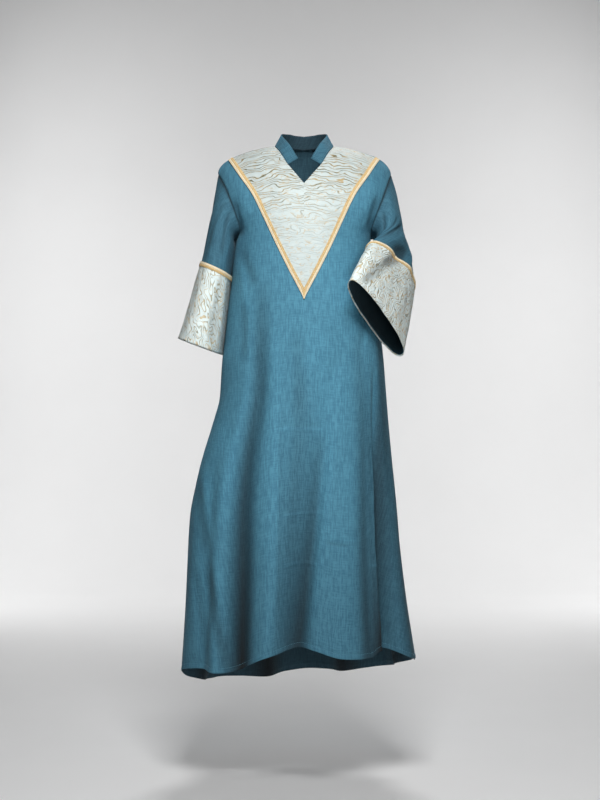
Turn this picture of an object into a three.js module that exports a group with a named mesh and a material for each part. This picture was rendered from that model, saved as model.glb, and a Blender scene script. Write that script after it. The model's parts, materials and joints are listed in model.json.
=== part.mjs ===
// A long A-line kaftan, worn: front, back, yoke with its braid, stand collar, and two wide sleeves
// with cuffs and cuff braids laid on them. One arm hangs straight and the other is bent forward.
// Millimetres, +Z up, front towards -Y. The origin is the middle of the shoulder line at the neck.
import * as THREE from 'three';

// Driving sizes.
const wall = 2; // cloth of the body, the sleeves and the collar
const seamGap = 0.3;
const thinWall = 1.1; // brocade and braid
const brocadeGap = 0.6; // between a panel and the brocade on it
const braidGap = 0.6; // between the brocade and the braid on it
const braidWidth = 12;
const longestMitre = 1.5; // a mitred wall edge is at most this many walls long

// The panels' rows run from 0 at the hem to 1 at the shoulder seam.
const rowOf = {
  yokeTip: 0.672, braidCorner: 0.694, underarm: 0.8, slit: 0.92, nape: 0.94, collarEnd: 0.96, yokeTop: 0.996,
};
const skirtRows = 11; // from the hem to the yoke's tip
const chestRows = [0.735, 0.77]; // between the braid's corner and the underarm
const upperRows = [0.82, 0.84, 0.86, 0.88, 0.9, 0.92, 0.94, 0.945, 0.96, 0.97, 0.98, 0.99, 1];

// Level lines of the panels. mid is the point on the middle line, side the point on the side seam or
// the armhole, right and left the wearer's half widths, wrap the angle that the line turns through.
const frontLevels = [
  { row: 0, midY: -214, midZ: -1290, right: 312, left: 284, sideY: 6, sideZ: -1290, wrap: 90 },
  { row: 0.114, midY: -200, midZ: -1140, right: 302, left: 260, sideY: 6, sideZ: -1140, wrap: 90 },
  { row: 0.221, midY: -188, midZ: -1000, right: 295, left: 243, sideY: 6, sideZ: -1000, wrap: 90 },
  { row: 0.29, midY: -180, midZ: -910, right: 289, left: 235, sideY: 6, sideZ: -910, wrap: 90 },
  { row: 0.343, midY: -174, midZ: -840, right: 276, left: 228, sideY: 6, sideZ: -840, wrap: 90 },
  { row: 0.4, midY: -168, midZ: -765, right: 256, left: 221, sideY: 6, sideZ: -765, wrap: 90 },
  { row: 0.457, midY: -162, midZ: -690, right: 232, left: 214, sideY: 6, sideZ: -690, wrap: 90 },
  { row: 0.514, midY: -157, midZ: -615, right: 211, left: 208, sideY: 6, sideZ: -615, wrap: 90 },
  { row: 0.571, midY: -153, midZ: -540, right: 202, left: 202, sideY: 6, sideZ: -540, wrap: 90 },
  { row: 0.686, midY: -148, midZ: -390, right: 186, left: 184, sideY: 6, sideZ: -390, wrap: 90 },
  { row: 0.743, midY: -145, midZ: -317, right: 177, left: 176, sideY: 6, sideZ: -313, wrap: 90 },
  { row: 0.8, midY: -141, midZ: -243, right: 165, left: 168, sideY: 5, sideZ: -235, wrap: 90 },
  { row: 0.84, midY: -133, midZ: -196, right: 163, left: 172, sideY: -30, sideZ: -211, wrap: 80 },
  { row: 0.88, midY: -121, midZ: -152, right: 172, left: 183, sideY: -47, sideZ: -180, wrap: 72 },
  { row: 0.92, midY: -106, midZ: -110, right: 184, left: 196, sideY: -50, sideZ: -146, wrap: 70 },
  { row: 0.96, midY: -85, midZ: -58, right: 199, left: 209, sideY: -37, sideZ: -106, wrap: 76 },
  { row: 0.98, midY: -50, midZ: -20, right: 208, left: 215, sideY: -20, sideZ: -87, wrap: 84 },
  { row: 1, midY: 0, midZ: 4, right: 217, left: 221, sideY: 0, sideZ: -72, wrap: 90 },
];
const backLevels = [
  { row: 0, midY: 232, midZ: -1290, right: 312, left: 284, sideY: 6, sideZ: -1290, wrap: 90 },
  { row: 0.114, midY: 214, midZ: -1140, right: 302, left: 260, sideY: 6, sideZ: -1140, wrap: 90 },
  { row: 0.221, midY: 197, midZ: -1000, right: 295, left: 243, sideY: 6, sideZ: -1000, wrap: 90 },
  { row: 0.29, midY: 186, midZ: -910, right: 289, left: 235, sideY: 6, sideZ: -910, wrap: 90 },
  { row: 0.343, midY: 177, midZ: -840, right: 276, left: 228, sideY: 6, sideZ: -840, wrap: 90 },
  { row: 0.4, midY: 167, midZ: -765, right: 256, left: 221, sideY: 6, sideZ: -765, wrap: 90 },
  { row: 0.457, midY: 156, midZ: -690, right: 232, left: 214, sideY: 6, sideZ: -690, wrap: 90 },
  { row: 0.514, midY: 145, midZ: -615, right: 211, left: 208, sideY: 6, sideZ: -615, wrap: 90 },
  { row: 0.571, midY: 134, midZ: -540, right: 202, left: 202, sideY: 6, sideZ: -540, wrap: 90 },
  { row: 0.686, midY: 119, midZ: -390, right: 186, left: 184, sideY: 6, sideZ: -390, wrap: 90 },
  { row: 0.743, midY: 116, midZ: -313, right: 177, left: 176, sideY: 6, sideZ: -313, wrap: 90 },
  { row: 0.8, midY: 115, midZ: -235, right: 165, left: 168, sideY: 5, sideZ: -235, wrap: 90 },
  { row: 0.84, midY: 115, midZ: -178, right: 165, left: 172, sideY: 36, sideZ: -208, wrap: 80 },
  { row: 0.88, midY: 110, midZ: -116, right: 175, left: 184, sideY: 49, sideZ: -177, wrap: 74 },
  { row: 0.92, midY: 90, midZ: -42, right: 187, left: 197, sideY: 50, sideZ: -144, wrap: 72 },
  { row: 0.94, midY: 67, midZ: 0, right: 193, left: 203, sideY: 45, sideZ: -125, wrap: 75 },
  { row: 0.96, midY: 44, midZ: 7, right: 200, left: 209, sideY: 36, sideZ: -106, wrap: 79 },
  { row: 0.98, midY: 22, midZ: 7, right: 208, left: 215, sideY: 20, sideZ: -87, wrap: 84 },
  { row: 1, midY: 0, midZ: 4, right: 217, left: 221, sideY: 0, sideZ: -72, wrap: 90 },
];

// Height of the hem, from -1 on the wearer's right side seam to 1 on the left one.
const frontHem = [
  { across: -1, z: -1342 }, { across: -0.62, z: -1316 }, { across: -0.44, z: -1318 },
  { across: -0.31, z: -1299 }, { across: -0.18, z: -1271 }, { across: 0, z: -1251 },
  { across: 0.2, z: -1276 }, { across: 0.35, z: -1281 }, { across: 0.48, z: -1270 },
  { across: 0.62, z: -1290 }, { across: 0.82, z: -1304 }, { across: 1, z: -1306 },
];
const backHem = [
  { across: -1, z: -1342 }, { across: -0.7, z: -1382 }, { across: -0.4, z: -1392 },
  { across: 0, z: -1381 }, { across: 0.3, z: -1373 }, { across: 0.6, z: -1352 }, { across: 1, z: -1306 },
];

// Folds of the skirt. hem and top say where across the panel the fold lies at its two ends, and ends
// is its top row. depth is outwards at the hem, negative for a hollow; before and after are its half
// widths across the panel.
const frontFolds = [
  { hem: -0.8, top: -0.75, ends: 0.34, depth: 7, before: 0.12, after: 0.12 },
  { hem: -0.62, top: -0.6, ends: 0.4, depth: -12, before: 0.12, after: 0.1 },
  { hem: -0.46, top: -0.52, ends: 0.5, depth: 16, before: 0.12, after: 0.12 },
  { hem: -0.36, top: -0.37, ends: 0.68, depth: -50, before: 0.14, after: 0.12 },
  { hem: -0.18, top: -0.2, ends: 0.62, depth: 14, before: 0.1, after: 0.12 },
  { hem: -0.03, top: 0.22, ends: 0.56, depth: -42, before: 0.2, after: 0.09 },
  { hem: 0.2, top: 0.34, ends: 0.5, depth: 14, before: 0.16, after: 0.16 },
  { hem: 0.41, top: 0.48, ends: 0.5, depth: -16, before: 0.1, after: 0.1 },
  { hem: 0.55, top: 0.655, ends: 0.56, depth: -72, before: 0.08, after: 0.11 },
  { hem: 0.72, top: 0.84, ends: 0.46, depth: 14, before: 0.1, after: 0.16 },
];
const backFolds = [
  { hem: -0.72, top: -0.6, ends: 0.5, depth: -26, before: 0.14, after: 0.14 },
  { hem: -0.46, top: -0.4, ends: 0.6, depth: 22, before: 0.14, after: 0.14 },
  { hem: -0.22, top: -0.2, ends: 0.68, depth: -46, before: 0.15, after: 0.13 },
  { hem: 0.02, top: 0, ends: 0.62, depth: 20, before: 0.14, after: 0.14 },
  { hem: 0.27, top: 0.22, ends: 0.66, depth: -40, before: 0.14, after: 0.15 },
  { hem: 0.5, top: 0.42, ends: 0.56, depth: 18, before: 0.13, after: 0.13 },
  { hem: 0.74, top: 0.62, ends: 0.48, depth: -28, before: 0.13, after: 0.12 },
];

const frontPanel = { levels: frontLevels, hem: frontHem, folds: frontFolds, columns: 24, facing: 1 };
const backPanel = { levels: backLevels, hem: backHem, folds: backFolds, columns: 16, facing: -1 };

// Neck opening and collar. lean is the way from the collar's base to its top edge, on the wearer's
// left, at places from the front end to the middle of the back.
const neck = { halfWidth: 75, frontEndShare: 0.68, yokeSetback: 0.02 };
const collarLean = [
  { along: 0, x: -25, y: 22, z: 19 }, { along: 0.3, x: -19, y: 12, z: 29 },
  { along: 0.55, x: -13, y: 0, z: 34 }, { along: 1, x: 0, y: -9, z: 36 },
];
const collarRings = 3;

// The yoke's edge in the front view, from its tip to the shoulder seam.
const yokeEdge = [
  { z: -398, x: 0 }, { z: -329, x: 36 }, { z: -262, x: 68 }, { z: -198, x: 97 },
  { z: -135, x: 127 }, { z: -80, x: 164 }, { z: -38, x: 191 }, { z: 10, x: 226 },
];

// Rings of the sleeves, from the armhole to the hem. middle is a ring's centre, out points to the
// outer side of the arm and fore to the front of the arm, which is the top of a bent forearm.
const hangingSleeve = [
  { at: 0, middle: [-191, 2, -153], out: [-26, -2, 82], fore: [0, -54, 0] },
  { at: 0.14, middle: [-204, 1, -188], out: [-24, -1, 52], fore: [0, -64, 0] },
  { at: 0.28, middle: [-209, 0, -229], out: [-29, 0, 33], fore: [0, -72, 0] },
  { at: 0.42, middle: [-217, -2, -275], out: [-32, 0, 20], fore: [0, -79, 0] },
  { at: 0.52, middle: [-224, -5, -315], out: [-35, 0, 18], fore: [0, -84, 0] },
  { at: 0.76, middle: [-244, -9, -414], out: [-43, 0, 19], fore: [0, -97, 0] },
  { at: 1, middle: [-264, -13, -513], out: [-52, 0, 20], fore: [0, -110, 0] },
];
const bentSleeve = [
  { at: 0, middle: [195, 2, -153], out: [26, -2, 82], fore: [0, -54, 0] },
  { at: 0.14, middle: [212, 2, -186], out: [27, 2, 50], fore: [-2, -63, 4] },
  { at: 0.28, middle: [219, 0, -224], out: [32, 2, 26], fore: [-6, -68, 14] },
  { at: 0.42, middle: [226, -12, -270], out: [30, -14, 21], fore: [-34, -70, 34] },
  { at: 0.52, middle: [221, -32, -308], out: [19, -24, 18], fore: [-57, -70, 48] },
  { at: 0.76, middle: [202, -82, -378], out: [18, -30, 18], fore: [-62, -83, 73] },
  { at: 1, middle: [178, -143, -449], out: [12, -28, 16], fore: [-68, -84, 84] },
];
const sleeveRows = [0, 0.05, 0.1, 0.16, 0.23, 0.31, 0.4, 0.46, 0.52, 0.545, 0.64, 0.74, 0.83, 0.92, 0.99];
const cuffStart = 0.52;
const cuffBraidEnd = 0.545;
const cuffEnd = 1;
const armholeFade = 0.3; // along the sleeve, until the armhole's own shape has gone
const squareness = 2.3; // of the sleeve's rings, where 2 is an ellipse

// Small steps for slopes, in shares of a panel, and how often a search is halved.
const normalStep = 0.002;
const edgeStep = 0.004;
const halvings = 30;

const teal = { color: 0x4c8097, roughness: 0.85, metalness: 0 };
const brocade = { color: 0xd3dcd8, roughness: 0.6, metalness: 0 };
const gold = { color: 0xdcb673, roughness: 0.6, metalness: 0 };

const vec = (x, y, z) => new THREE.Vector3(x, y, z);
const mix = (a, b, t) => a + (b - a) * t;

// A smooth value from a table, without overshoot: a cubic whose slope is limited at each row.
function fromTable(table, key, at, column) {
  const last = table.length - 1;
  let i = 0;
  while (i < last - 1 && at > table[i + 1][key]) i++;
  const slope = (k) => (table[k + 1][column] - table[k][column]) / (table[k + 1][key] - table[k][key]);
  const tangent = (k) => {
    if (k === 0) return slope(0);
    if (k === last) return slope(last - 1);
    const product = slope(k - 1) * slope(k);
    return product <= 0 ? 0 : (2 * product) / (slope(k - 1) + slope(k));
  };
  const span = table[i + 1][key] - table[i][key];
  const t = THREE.MathUtils.clamp((at - table[i][key]) / span, 0, 1);
  const level = mix(table[i][column], table[i + 1][column], t * t * (3 - 2 * t));
  return level + span * t * (1 - t) * ((1 - t) * tangent(i) - t * tangent(i + 1));
}

function vecFromTable(table, at, column) {
  return vec(...[0, 1, 2].map((axis) => {
    const flat = table.map((line) => ({ at: line.at, value: line[column][axis] }));
    return fromTable(flat, 'at', at, 'value');
  }));
}

// How far the cloth stands out from the smooth skirt at one place: the sum of its folds.
function foldDepth(folds, across, row) {
  let sum = 0;
  for (const fold of folds) {
    const up = row / fold.ends;
    if (up >= 1) continue;
    const centre = mix(fold.hem, fold.top, up);
    const away = Math.abs(across - centre) / (across < centre ? fold.before : fold.after);
    if (away < 1) sum += fold.depth * (1 - up) * (Math.cos(Math.PI * away) + 1) / 2;
  }
  return sum;
}

// A point of a panel. across runs from -1 on the wearer's right edge to 1 on the left one.
function panelPoint(panel, across, row) {
  const level = (column) => fromTable(panel.levels, 'row', row, column);
  const wrap = THREE.MathUtils.degToRad(level('wrap'));
  const turn = Math.abs(across) * wrap;
  const width = across < 0 ? -level('right') : level('left');
  const midY = level('midY');
  const sideY = level('sideY');
  const bow = (1 - Math.cos(turn)) / (1 - Math.cos(wrap));
  const point = vec(
    width * Math.sin(turn) / Math.sin(wrap),
    mix(midY, sideY, bow),
    mix(level('midZ'), level('sideZ'), bow),
  );
  if (row < rowOf.underarm) {
    const drop = fromTable(panel.hem, 'across', across, 'z') - panel.levels[0].midZ;
    point.z += drop * (1 - row / rowOf.underarm);
    const outward = vec(Math.sin(turn) / width, Math.cos(turn) / (midY - sideY), 0).normalize();
    point.addScaledVector(outward, foldDepth(panel.folds, across, row));
  }
  return point;
}

function panelNormal(panel, across, row) {
  const slope = (along) => {
    const move = (sign) => along === 'row'
      ? panelPoint(panel, across, THREE.MathUtils.clamp(row + sign * normalStep, 0, 1))
      : panelPoint(panel, THREE.MathUtils.clamp(across + sign * normalStep, -1, 1), row);
    return move(1).sub(move(-1));
  };
  return slope('across').cross(slope('row')).multiplyScalar(panel.facing).normalize();
}

// Where the neck opening crosses a row, as a share from the middle line to the edge.
function neckShare(panel, row) {
  const atSeam = (2 / Math.PI) * Math.asin(neck.halfWidth / panel.levels.at(-1).left);
  if (panel === backPanel) {
    const down = (1 - row) / (1 - rowOf.nape);
    return down >= 1 ? 0 : atSeam * Math.sqrt(1 - down * down);
  }
  if (row <= rowOf.slit) return 0;
  const atEnd = atSeam * neck.frontEndShare;
  if (row <= rowOf.collarEnd) return atEnd * (row - rowOf.slit) / (rowOf.collarEnd - rowOf.slit);
  const up = (row - rowOf.collarEnd) / (1 - rowOf.collarEnd);
  return mix(atEnd, atSeam, Math.sin(up * Math.PI / 2));
}

// A panel's columns on one row, from the neck opening or the middle line to the edge. Above the
// underarm every second column ends in its neighbour.
function columnShares(panel, row) {
  const from = neckShare(panel, row);
  return Array.from({ length: panel.columns + 1 }, (_, j) => {
    const kept = row > rowOf.underarm ? j - (j % 2) : j;
    return mix(from, 1, kept / panel.columns);
  });
}

// A sheet made of a panel's points: sharesOf gives each row's places on one side, and equal places
// on a row are one point. No quad spans the middle line.
function panelSheet(panel, rows, sharesOf) {
  const points = [];
  const normals = [];
  const indexOf = new Map();
  const pointIndex = (across, row) => {
    const key = Math.round(across * 1e6) + ' ' + row;
    if (!indexOf.has(key)) {
      indexOf.set(key, points.length);
      points.push(panelPoint(panel, across, row));
      normals.push(panelNormal(panel, across, row));
    }
    return indexOf.get(key);
  };
  const sides = [-1, 1].map((side) => rows.map((row) => (
    sharesOf(row, side).map((share) => pointIndex(side * share, row)))));
  const quads = [];
  sides.forEach((grid, s) => {
    for (let i = 0; i < rows.length - 1; i++) {
      for (let j = 0; j < grid[i].length - 1; j++) {
        const quad = [grid[i][j], grid[i][j + 1], grid[i + 1][j + 1], grid[i + 1][j]];
        quads.push((s === 1) === (panel.facing === 1) ? quad : quad.reverse());
      }
    }
  });
  return { points, normals, quads };
}

// Boundary edges of a sheet, each in the direction of its own quad.
function rimOf(quads) {
  const edges = new Map();
  for (const quad of quads) {
    const corners = quad.filter((k, i) => k !== quad[(i + 1) % 4]);
    if (corners.length < 3) continue;
    corners.forEach((a, i) => {
      const b = corners[(i + 1) % corners.length];
      if (edges.has(b + '>' + a)) edges.delete(b + '>' + a);
      else edges.set(a + '>' + b, [a, b]);
    });
  }
  return [...edges.values()];
}

// Outward directions of a sheet whose quads all wind the same way.
function normalsOf(points, quads) {
  const normals = points.map(() => vec(0, 0, 0));
  for (const quad of quads) {
    const [a, b, c, d] = quad.map((k) => points[k]);
    const normal = c.clone().sub(a).cross(d.clone().sub(b));
    quad.forEach((k) => normals[k].add(normal));
  }
  return normals.map((n) => n.normalize());
}

// The direction halfway between the walls that meet at a point. Of three, the two that are most alike
// count as one wall.
function halfway(normals) {
  if (normals.length === 3) {
    const [a, b, c] = normals;
    const pairs = [[a, b, c], [a, c, b], [b, c, a]];
    const [first, second, other] = pairs.reduce((best, pair) => (
      pair[0].dot(pair[1]) > best[0].dot(best[1]) ? pair : best));
    return halfway([first.clone().add(second).normalize(), other]);
  }
  return normals.reduce((sum, normal) => sum.add(normal), vec(0, 0, 0)).normalize();
}

// Where sheets share points, their walls meet in a mitre: every sheet takes the same thickness
// direction there, and its edge steps back from the seam by half the gap.
function joinSheets(sheets) {
  const place = (p) => p.toArray().map((c) => Math.round(c * 100)).join(' ');
  const shared = new Map();
  for (const sheet of sheets) {
    sheet.rim = rimOf(sheet.quads);
    for (const k of new Set(sheet.rim.flat())) {
      const at = place(sheet.points[k]);
      shared.set(at, (shared.get(at) ?? []).concat(sheet.normals[k]));
    }
  }
  for (const sheet of sheets) {
    const thick = sheet.normals.map((n) => n.clone());
    const inward = new Map();
    for (const k of new Set(sheet.rim.flat())) {
      thick[k] = halfway(shared.get(place(sheet.points[k])));
    }
    for (const [a, b] of sheet.rim) {
      const along = sheet.points[b].clone().sub(sheet.points[a]);
      for (const k of [a, b]) {
        inward.set(k, (inward.get(k) ?? []).concat(thick[k].clone().cross(along).normalize()));
      }
    }
    sheet.points = sheet.points.map((p) => p.clone());
    for (const [k, [first, second = first]] of inward) {
      const scale = (seamGap / 2) / Math.max(1 + first.dot(second), 0.5);
      sheet.points[k].addScaledVector(first.clone().add(second), scale);
    }
    sheet.thick = thick.map((t, k) => t.multiplyScalar(Math.min(longestMitre, 1 / t.dot(sheet.normals[k]))));
  }
}

// The closed wall between two distances along each point's thickness direction.
function wallGeometry(sheet, low, high) {
  const { points, quads } = sheet;
  const thick = sheet.thick ?? sheet.normals;
  const positions = [high, low].flatMap((offset) =>
    points.flatMap((p, k) => p.clone().addScaledVector(thick[k], offset).toArray()));
  const index = [];
  const triangle = (a, b, c) => {
    if (a !== b && b !== c && c !== a) index.push(a, b, c);
  };
  const under = points.length;
  for (const [a, b, c, d] of quads) {
    triangle(a, b, c);
    triangle(a, c, d);
    triangle(c + under, b + under, a + under);
    triangle(d + under, c + under, a + under);
  }
  for (const [a, b] of rimOf(quads)) {
    // both walls at a seam split their edge faces from the higher point, so that twisted ones match
    const higher = points[a].z > points[b].z;
    triangle(b, a, higher ? b + under : a + under);
    triangle(higher ? a : b, a + under, b + under);
  }
  const geometry = new THREE.BufferGeometry();
  geometry.setAttribute('position', new THREE.Float32BufferAttribute(positions, 3));
  geometry.setIndex(index);
  geometry.computeVertexNormals();
  return geometry;
}

function bodyRows() {
  const skirt = Array.from({ length: skirtRows }, (_, i) => rowOf.yokeTip * i / skirtRows);
  return [...skirt, rowOf.yokeTip, rowOf.braidCorner, ...chestRows, rowOf.underarm, ...upperRows];
}

// The yoke's edge on a row, as a share, found by halving.
function yokeShare(row, side) {
  let inside = 0;
  let outside = 1;
  for (let k = 0; k < halvings; k++) {
    const middle = (inside + outside) / 2;
    const point = panelPoint(frontPanel, side * middle, row);
    if (Math.abs(point.x) < fromTable(yokeEdge, 'z', point.z, 'x')) inside = middle;
    else outside = middle;
  }
  return row <= rowOf.yokeTip ? 0 : inside;
}

// How much of a row the braid covers, which depends on how steeply the yoke's edge crosses it.
function braidShare(row, side) {
  const at = yokeShare(row, side);
  const edge = (r) => panelPoint(frontPanel, side * yokeShare(r, side), r);
  const alongEdge = edge(Math.min(row + edgeStep, 1)).sub(edge(row - edgeStep)).normalize();
  const alongRow = panelPoint(frontPanel, side * (at + edgeStep), row)
    .sub(panelPoint(frontPanel, side * at, row));
  const crossing = alongEdge.clone().cross(alongRow.clone().normalize()).length();
  return braidWidth / crossing * edgeStep / alongRow.length();
}

function yokeRows() {
  const rows = bodyRows().filter((row) => row >= rowOf.yokeTip && row < rowOf.yokeTop);
  return [...rows, rowOf.yokeTop];
}

function yokeSheet() {
  return panelSheet(frontPanel, yokeRows(), (row, side) => {
    const edge = yokeShare(row, side);
    const from = row >= rowOf.collarEnd ? neckShare(frontPanel, row) + neck.yokeSetback : 0;
    return columnShares(frontPanel, row).map((share) => Math.min(Math.max(share, from), edge));
  });
}

function yokeBraidSheet() {
  return panelSheet(frontPanel, yokeRows(), (row, side) => {
    const edge = yokeShare(row, side);
    const inner = row <= rowOf.braidCorner ? 0 : edge - braidShare(row, side);
    return columnShares(frontPanel, row).map((share) => THREE.MathUtils.clamp(share, inner, edge));
  });
}

// The armhole's points from the underarm over the front to the shoulder and down the back.
function armhole(side) {
  const rows = [rowOf.underarm, ...upperRows];
  const up = rows.map((row) => panelPoint(frontPanel, side, row));
  const down = rows.slice(1, -1).reverse().map((row) => panelPoint(backPanel, side, row));
  return { loop: [...up, ...down], top: up.length - 1 };
}

// The angle of each armhole point: -90 degrees at the underarm, 90 at the shoulder.
function armholeAngles({ loop, top }) {
  const reach = [0];
  for (let i = 1; i <= loop.length; i++) reach.push(reach[i - 1] + loop[i % loop.length].distanceTo(loop[i - 1]));
  return loop.map((_, i) => (i <= top
    ? -0.5 + reach[i] / reach[top]
    : 0.5 + (reach[i] - reach[top]) / (reach.at(-1) - reach[top])) * Math.PI);
}

function ringPoint(rings, at, angle) {
  const bulge = (value) => Math.sign(value) * Math.abs(value) ** (2 / squareness);
  return vecFromTable(rings, at, 'middle')
    .addScaledVector(vecFromTable(rings, at, 'out'), bulge(Math.sin(angle)))
    .addScaledVector(vecFromTable(rings, at, 'fore'), bulge(Math.cos(angle)));
}

// A sleeve's sheet between two places along it.
function sleeveSheet(rings, side, rows) {
  const hole = armhole(side);
  const angles = armholeAngles(hole);
  const around = hole.loop.length;
  const points = rows.flatMap((at) => hole.loop.map((start, i) => {
    const fade = 1 - THREE.MathUtils.smoothstep(at, 0, armholeFade);
    const offset = start.clone().sub(ringPoint(rings, 0, angles[i]));
    return ringPoint(rings, at, angles[i]).addScaledVector(offset, fade);
  }));
  const quads = [];
  for (let r = 0; r < rows.length - 1; r++) {
    for (let i = 0; i < around; i++) {
      const j = (i + 1) % around;
      const quad = [r * around + i, r * around + j, (r + 1) * around + j, (r + 1) * around + i];
      quads.push(side < 0 ? quad : quad.reverse());
    }
  }
  return { points, quads, normals: normalsOf(points, quads), around };
}

// The part of a sleeve between two of its rows, with the sleeve's own thickness directions.
function sleevePart(sheet, rows, from, to) {
  const first = rows.findIndex((at) => at >= from) * sheet.around;
  const end = (rows.findLastIndex((at) => at <= to) + 1) * sheet.around;
  const quads = sheet.quads.filter((quad) => quad.every((k) => k >= first && k < end));
  return {
    points: sheet.points.slice(first, end),
    normals: sheet.normals.slice(first, end),
    quads: quads.map((quad) => quad.map((k) => k - first)),
  };
}

// The collar's base: the neckline from the wearer's right front end round the back to the left one.
function neckline() {
  const rowsUp = upperRows.filter((row) => row >= rowOf.collarEnd);
  const rowsDown = upperRows.filter((row) => row >= rowOf.nape && row < 1).reverse();
  const half = (side) => [
    ...rowsUp.map((row) => panelPoint(frontPanel, side * neckShare(frontPanel, row), row)),
    ...rowsDown.map((row) => panelPoint(backPanel, side * neckShare(backPanel, row), row)),
  ];
  return [...half(-1), ...half(1).reverse().slice(1)];
}

function collarSheet() {
  const base = neckline();
  const middle = (base.length - 1) / 2;
  const points = [];
  for (let ring = 0; ring < collarRings; ring++) {
    const up = ring / (collarRings - 1);
    base.forEach((p, i) => {
      const along = 1 - Math.abs(i - middle) / middle;
      const side = Math.sign(i - middle);
      const lean = (axis) => fromTable(collarLean, 'along', along, axis);
      points.push(p.clone().add(vec(side * lean('x'), lean('y'), lean('z')).multiplyScalar(up)));
    });
  }
  const quads = [];
  for (let ring = 0; ring < collarRings - 1; ring++) {
    for (let i = 0; i < base.length - 1; i++) {
      const a = ring * base.length + i;
      quads.push([a + 1, a, a + base.length, a + base.length + 1]);
    }
  }
  return { points, quads, normals: normalsOf(points, quads) };
}

function addPiece(group, name, sheet, finish, low, high) {
  const mesh = new THREE.Mesh(wallGeometry(sheet, low, high), new THREE.MeshStandardMaterial(finish));
  mesh.name = name;
  group.add(mesh);
}

function buildKaftan() {
  const group = new THREE.Group();
  const front = panelSheet(frontPanel, bodyRows(), (row) => columnShares(frontPanel, row));
  const back = panelSheet(backPanel, bodyRows(), (row) => columnShares(backPanel, row));
  const collar = collarSheet();
  const arms = [
    { name: 'right', side: -1, rings: hangingSleeve },
    { name: 'left', side: 1, rings: bentSleeve },
  ];
  for (const arm of arms) arm.sheet = sleeveSheet(arm.rings, arm.side, sleeveRows);
  joinSheets([front, back, collar, ...arms.map((arm) => arm.sheet)]);

  addPiece(group, 'front', front, teal, 0, wall);
  addPiece(group, 'back', back, teal, 0, wall);
  addPiece(group, 'collar', collar, teal, 0, wall);
  const onWall = wall + brocadeGap;
  const onBrocade = onWall + thinWall + braidGap;
  addPiece(group, 'yoke', yokeSheet(), brocade, onWall, onWall + thinWall);
  addPiece(group, 'yoke_braid', yokeBraidSheet(), gold, onBrocade, onBrocade + thinWall);
  const cuffRows = sleeveRows.map((at) => (at === sleeveRows.at(-1) ? cuffEnd : at));
  for (const { name, side, rings, sheet } of arms) {
    addPiece(group, 'sleeve_' + name, sheet, teal, 0, wall);
    const long = sleeveSheet(rings, side, cuffRows);
    const cuff = sleevePart(long, cuffRows, cuffStart, cuffEnd);
    addPiece(group, 'cuff_' + name, cuff, brocade, onWall, onWall + thinWall);
    const braid = sleevePart(long, cuffRows, cuffStart, cuffBraidEnd);
    addPiece(group, 'cuff_braid_' + name, braid, gold, onBrocade, onBrocade + thinWall);
  }
  return group;
}

export default buildKaftan();
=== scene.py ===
import json
import math
import bpy
import numpy as np
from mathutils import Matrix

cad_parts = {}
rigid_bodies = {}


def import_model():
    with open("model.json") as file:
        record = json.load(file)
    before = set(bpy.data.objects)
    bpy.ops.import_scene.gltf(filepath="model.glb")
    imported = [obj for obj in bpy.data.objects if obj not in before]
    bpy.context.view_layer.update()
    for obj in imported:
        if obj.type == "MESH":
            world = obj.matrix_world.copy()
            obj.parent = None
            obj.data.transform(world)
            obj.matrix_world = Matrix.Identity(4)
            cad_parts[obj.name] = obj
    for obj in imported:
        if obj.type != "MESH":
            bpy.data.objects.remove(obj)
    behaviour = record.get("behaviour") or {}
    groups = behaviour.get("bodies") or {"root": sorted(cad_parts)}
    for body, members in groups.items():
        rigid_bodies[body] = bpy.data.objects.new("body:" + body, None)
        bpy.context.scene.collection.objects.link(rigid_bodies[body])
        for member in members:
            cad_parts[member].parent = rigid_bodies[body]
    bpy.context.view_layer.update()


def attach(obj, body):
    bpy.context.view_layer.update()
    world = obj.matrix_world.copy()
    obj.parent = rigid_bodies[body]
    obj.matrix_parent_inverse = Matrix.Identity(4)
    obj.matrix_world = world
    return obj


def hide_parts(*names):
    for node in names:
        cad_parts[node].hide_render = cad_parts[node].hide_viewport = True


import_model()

# A worn kaftan in teal slub cloth, with a brocade yoke and cuffs edged with gold braid.
# Tables are in millimetres, and the meshes are made from them in metres. Right and left are the wearer's.
mm = 0.001

# Rows of the body run from 0 at the hem to 1 at the shoulder seam.
rowOf = {"yokeTip": 0.672, "underarm": 0.8, "slit": 0.92, "nape": 0.94, "collarEnd": 0.96, "yokeTop": 0.9985}

# Skirt: row, height, y of the middle line in front and behind, half widths right and left.
skirtLevels = (
    (0, -1290, -214, 232, 312, 284),
    (0.114, -1140, -200, 214, 302, 260),
    (0.221, -1000, -188, 197, 295, 243),
    (0.29, -910, -180, 186, 289, 235),
    (0.343, -840, -174, 177, 276, 228),
    (0.4, -765, -168, 167, 256, 221),
    (0.457, -690, -162, 156, 232, 214),
    (0.514, -615, -157, 145, 211, 208),
    (0.571, -540, -153, 134, 202, 202),
    (0.686, -390, -148, 119, 186, 184),
)
skirtSeamY = 6

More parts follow.
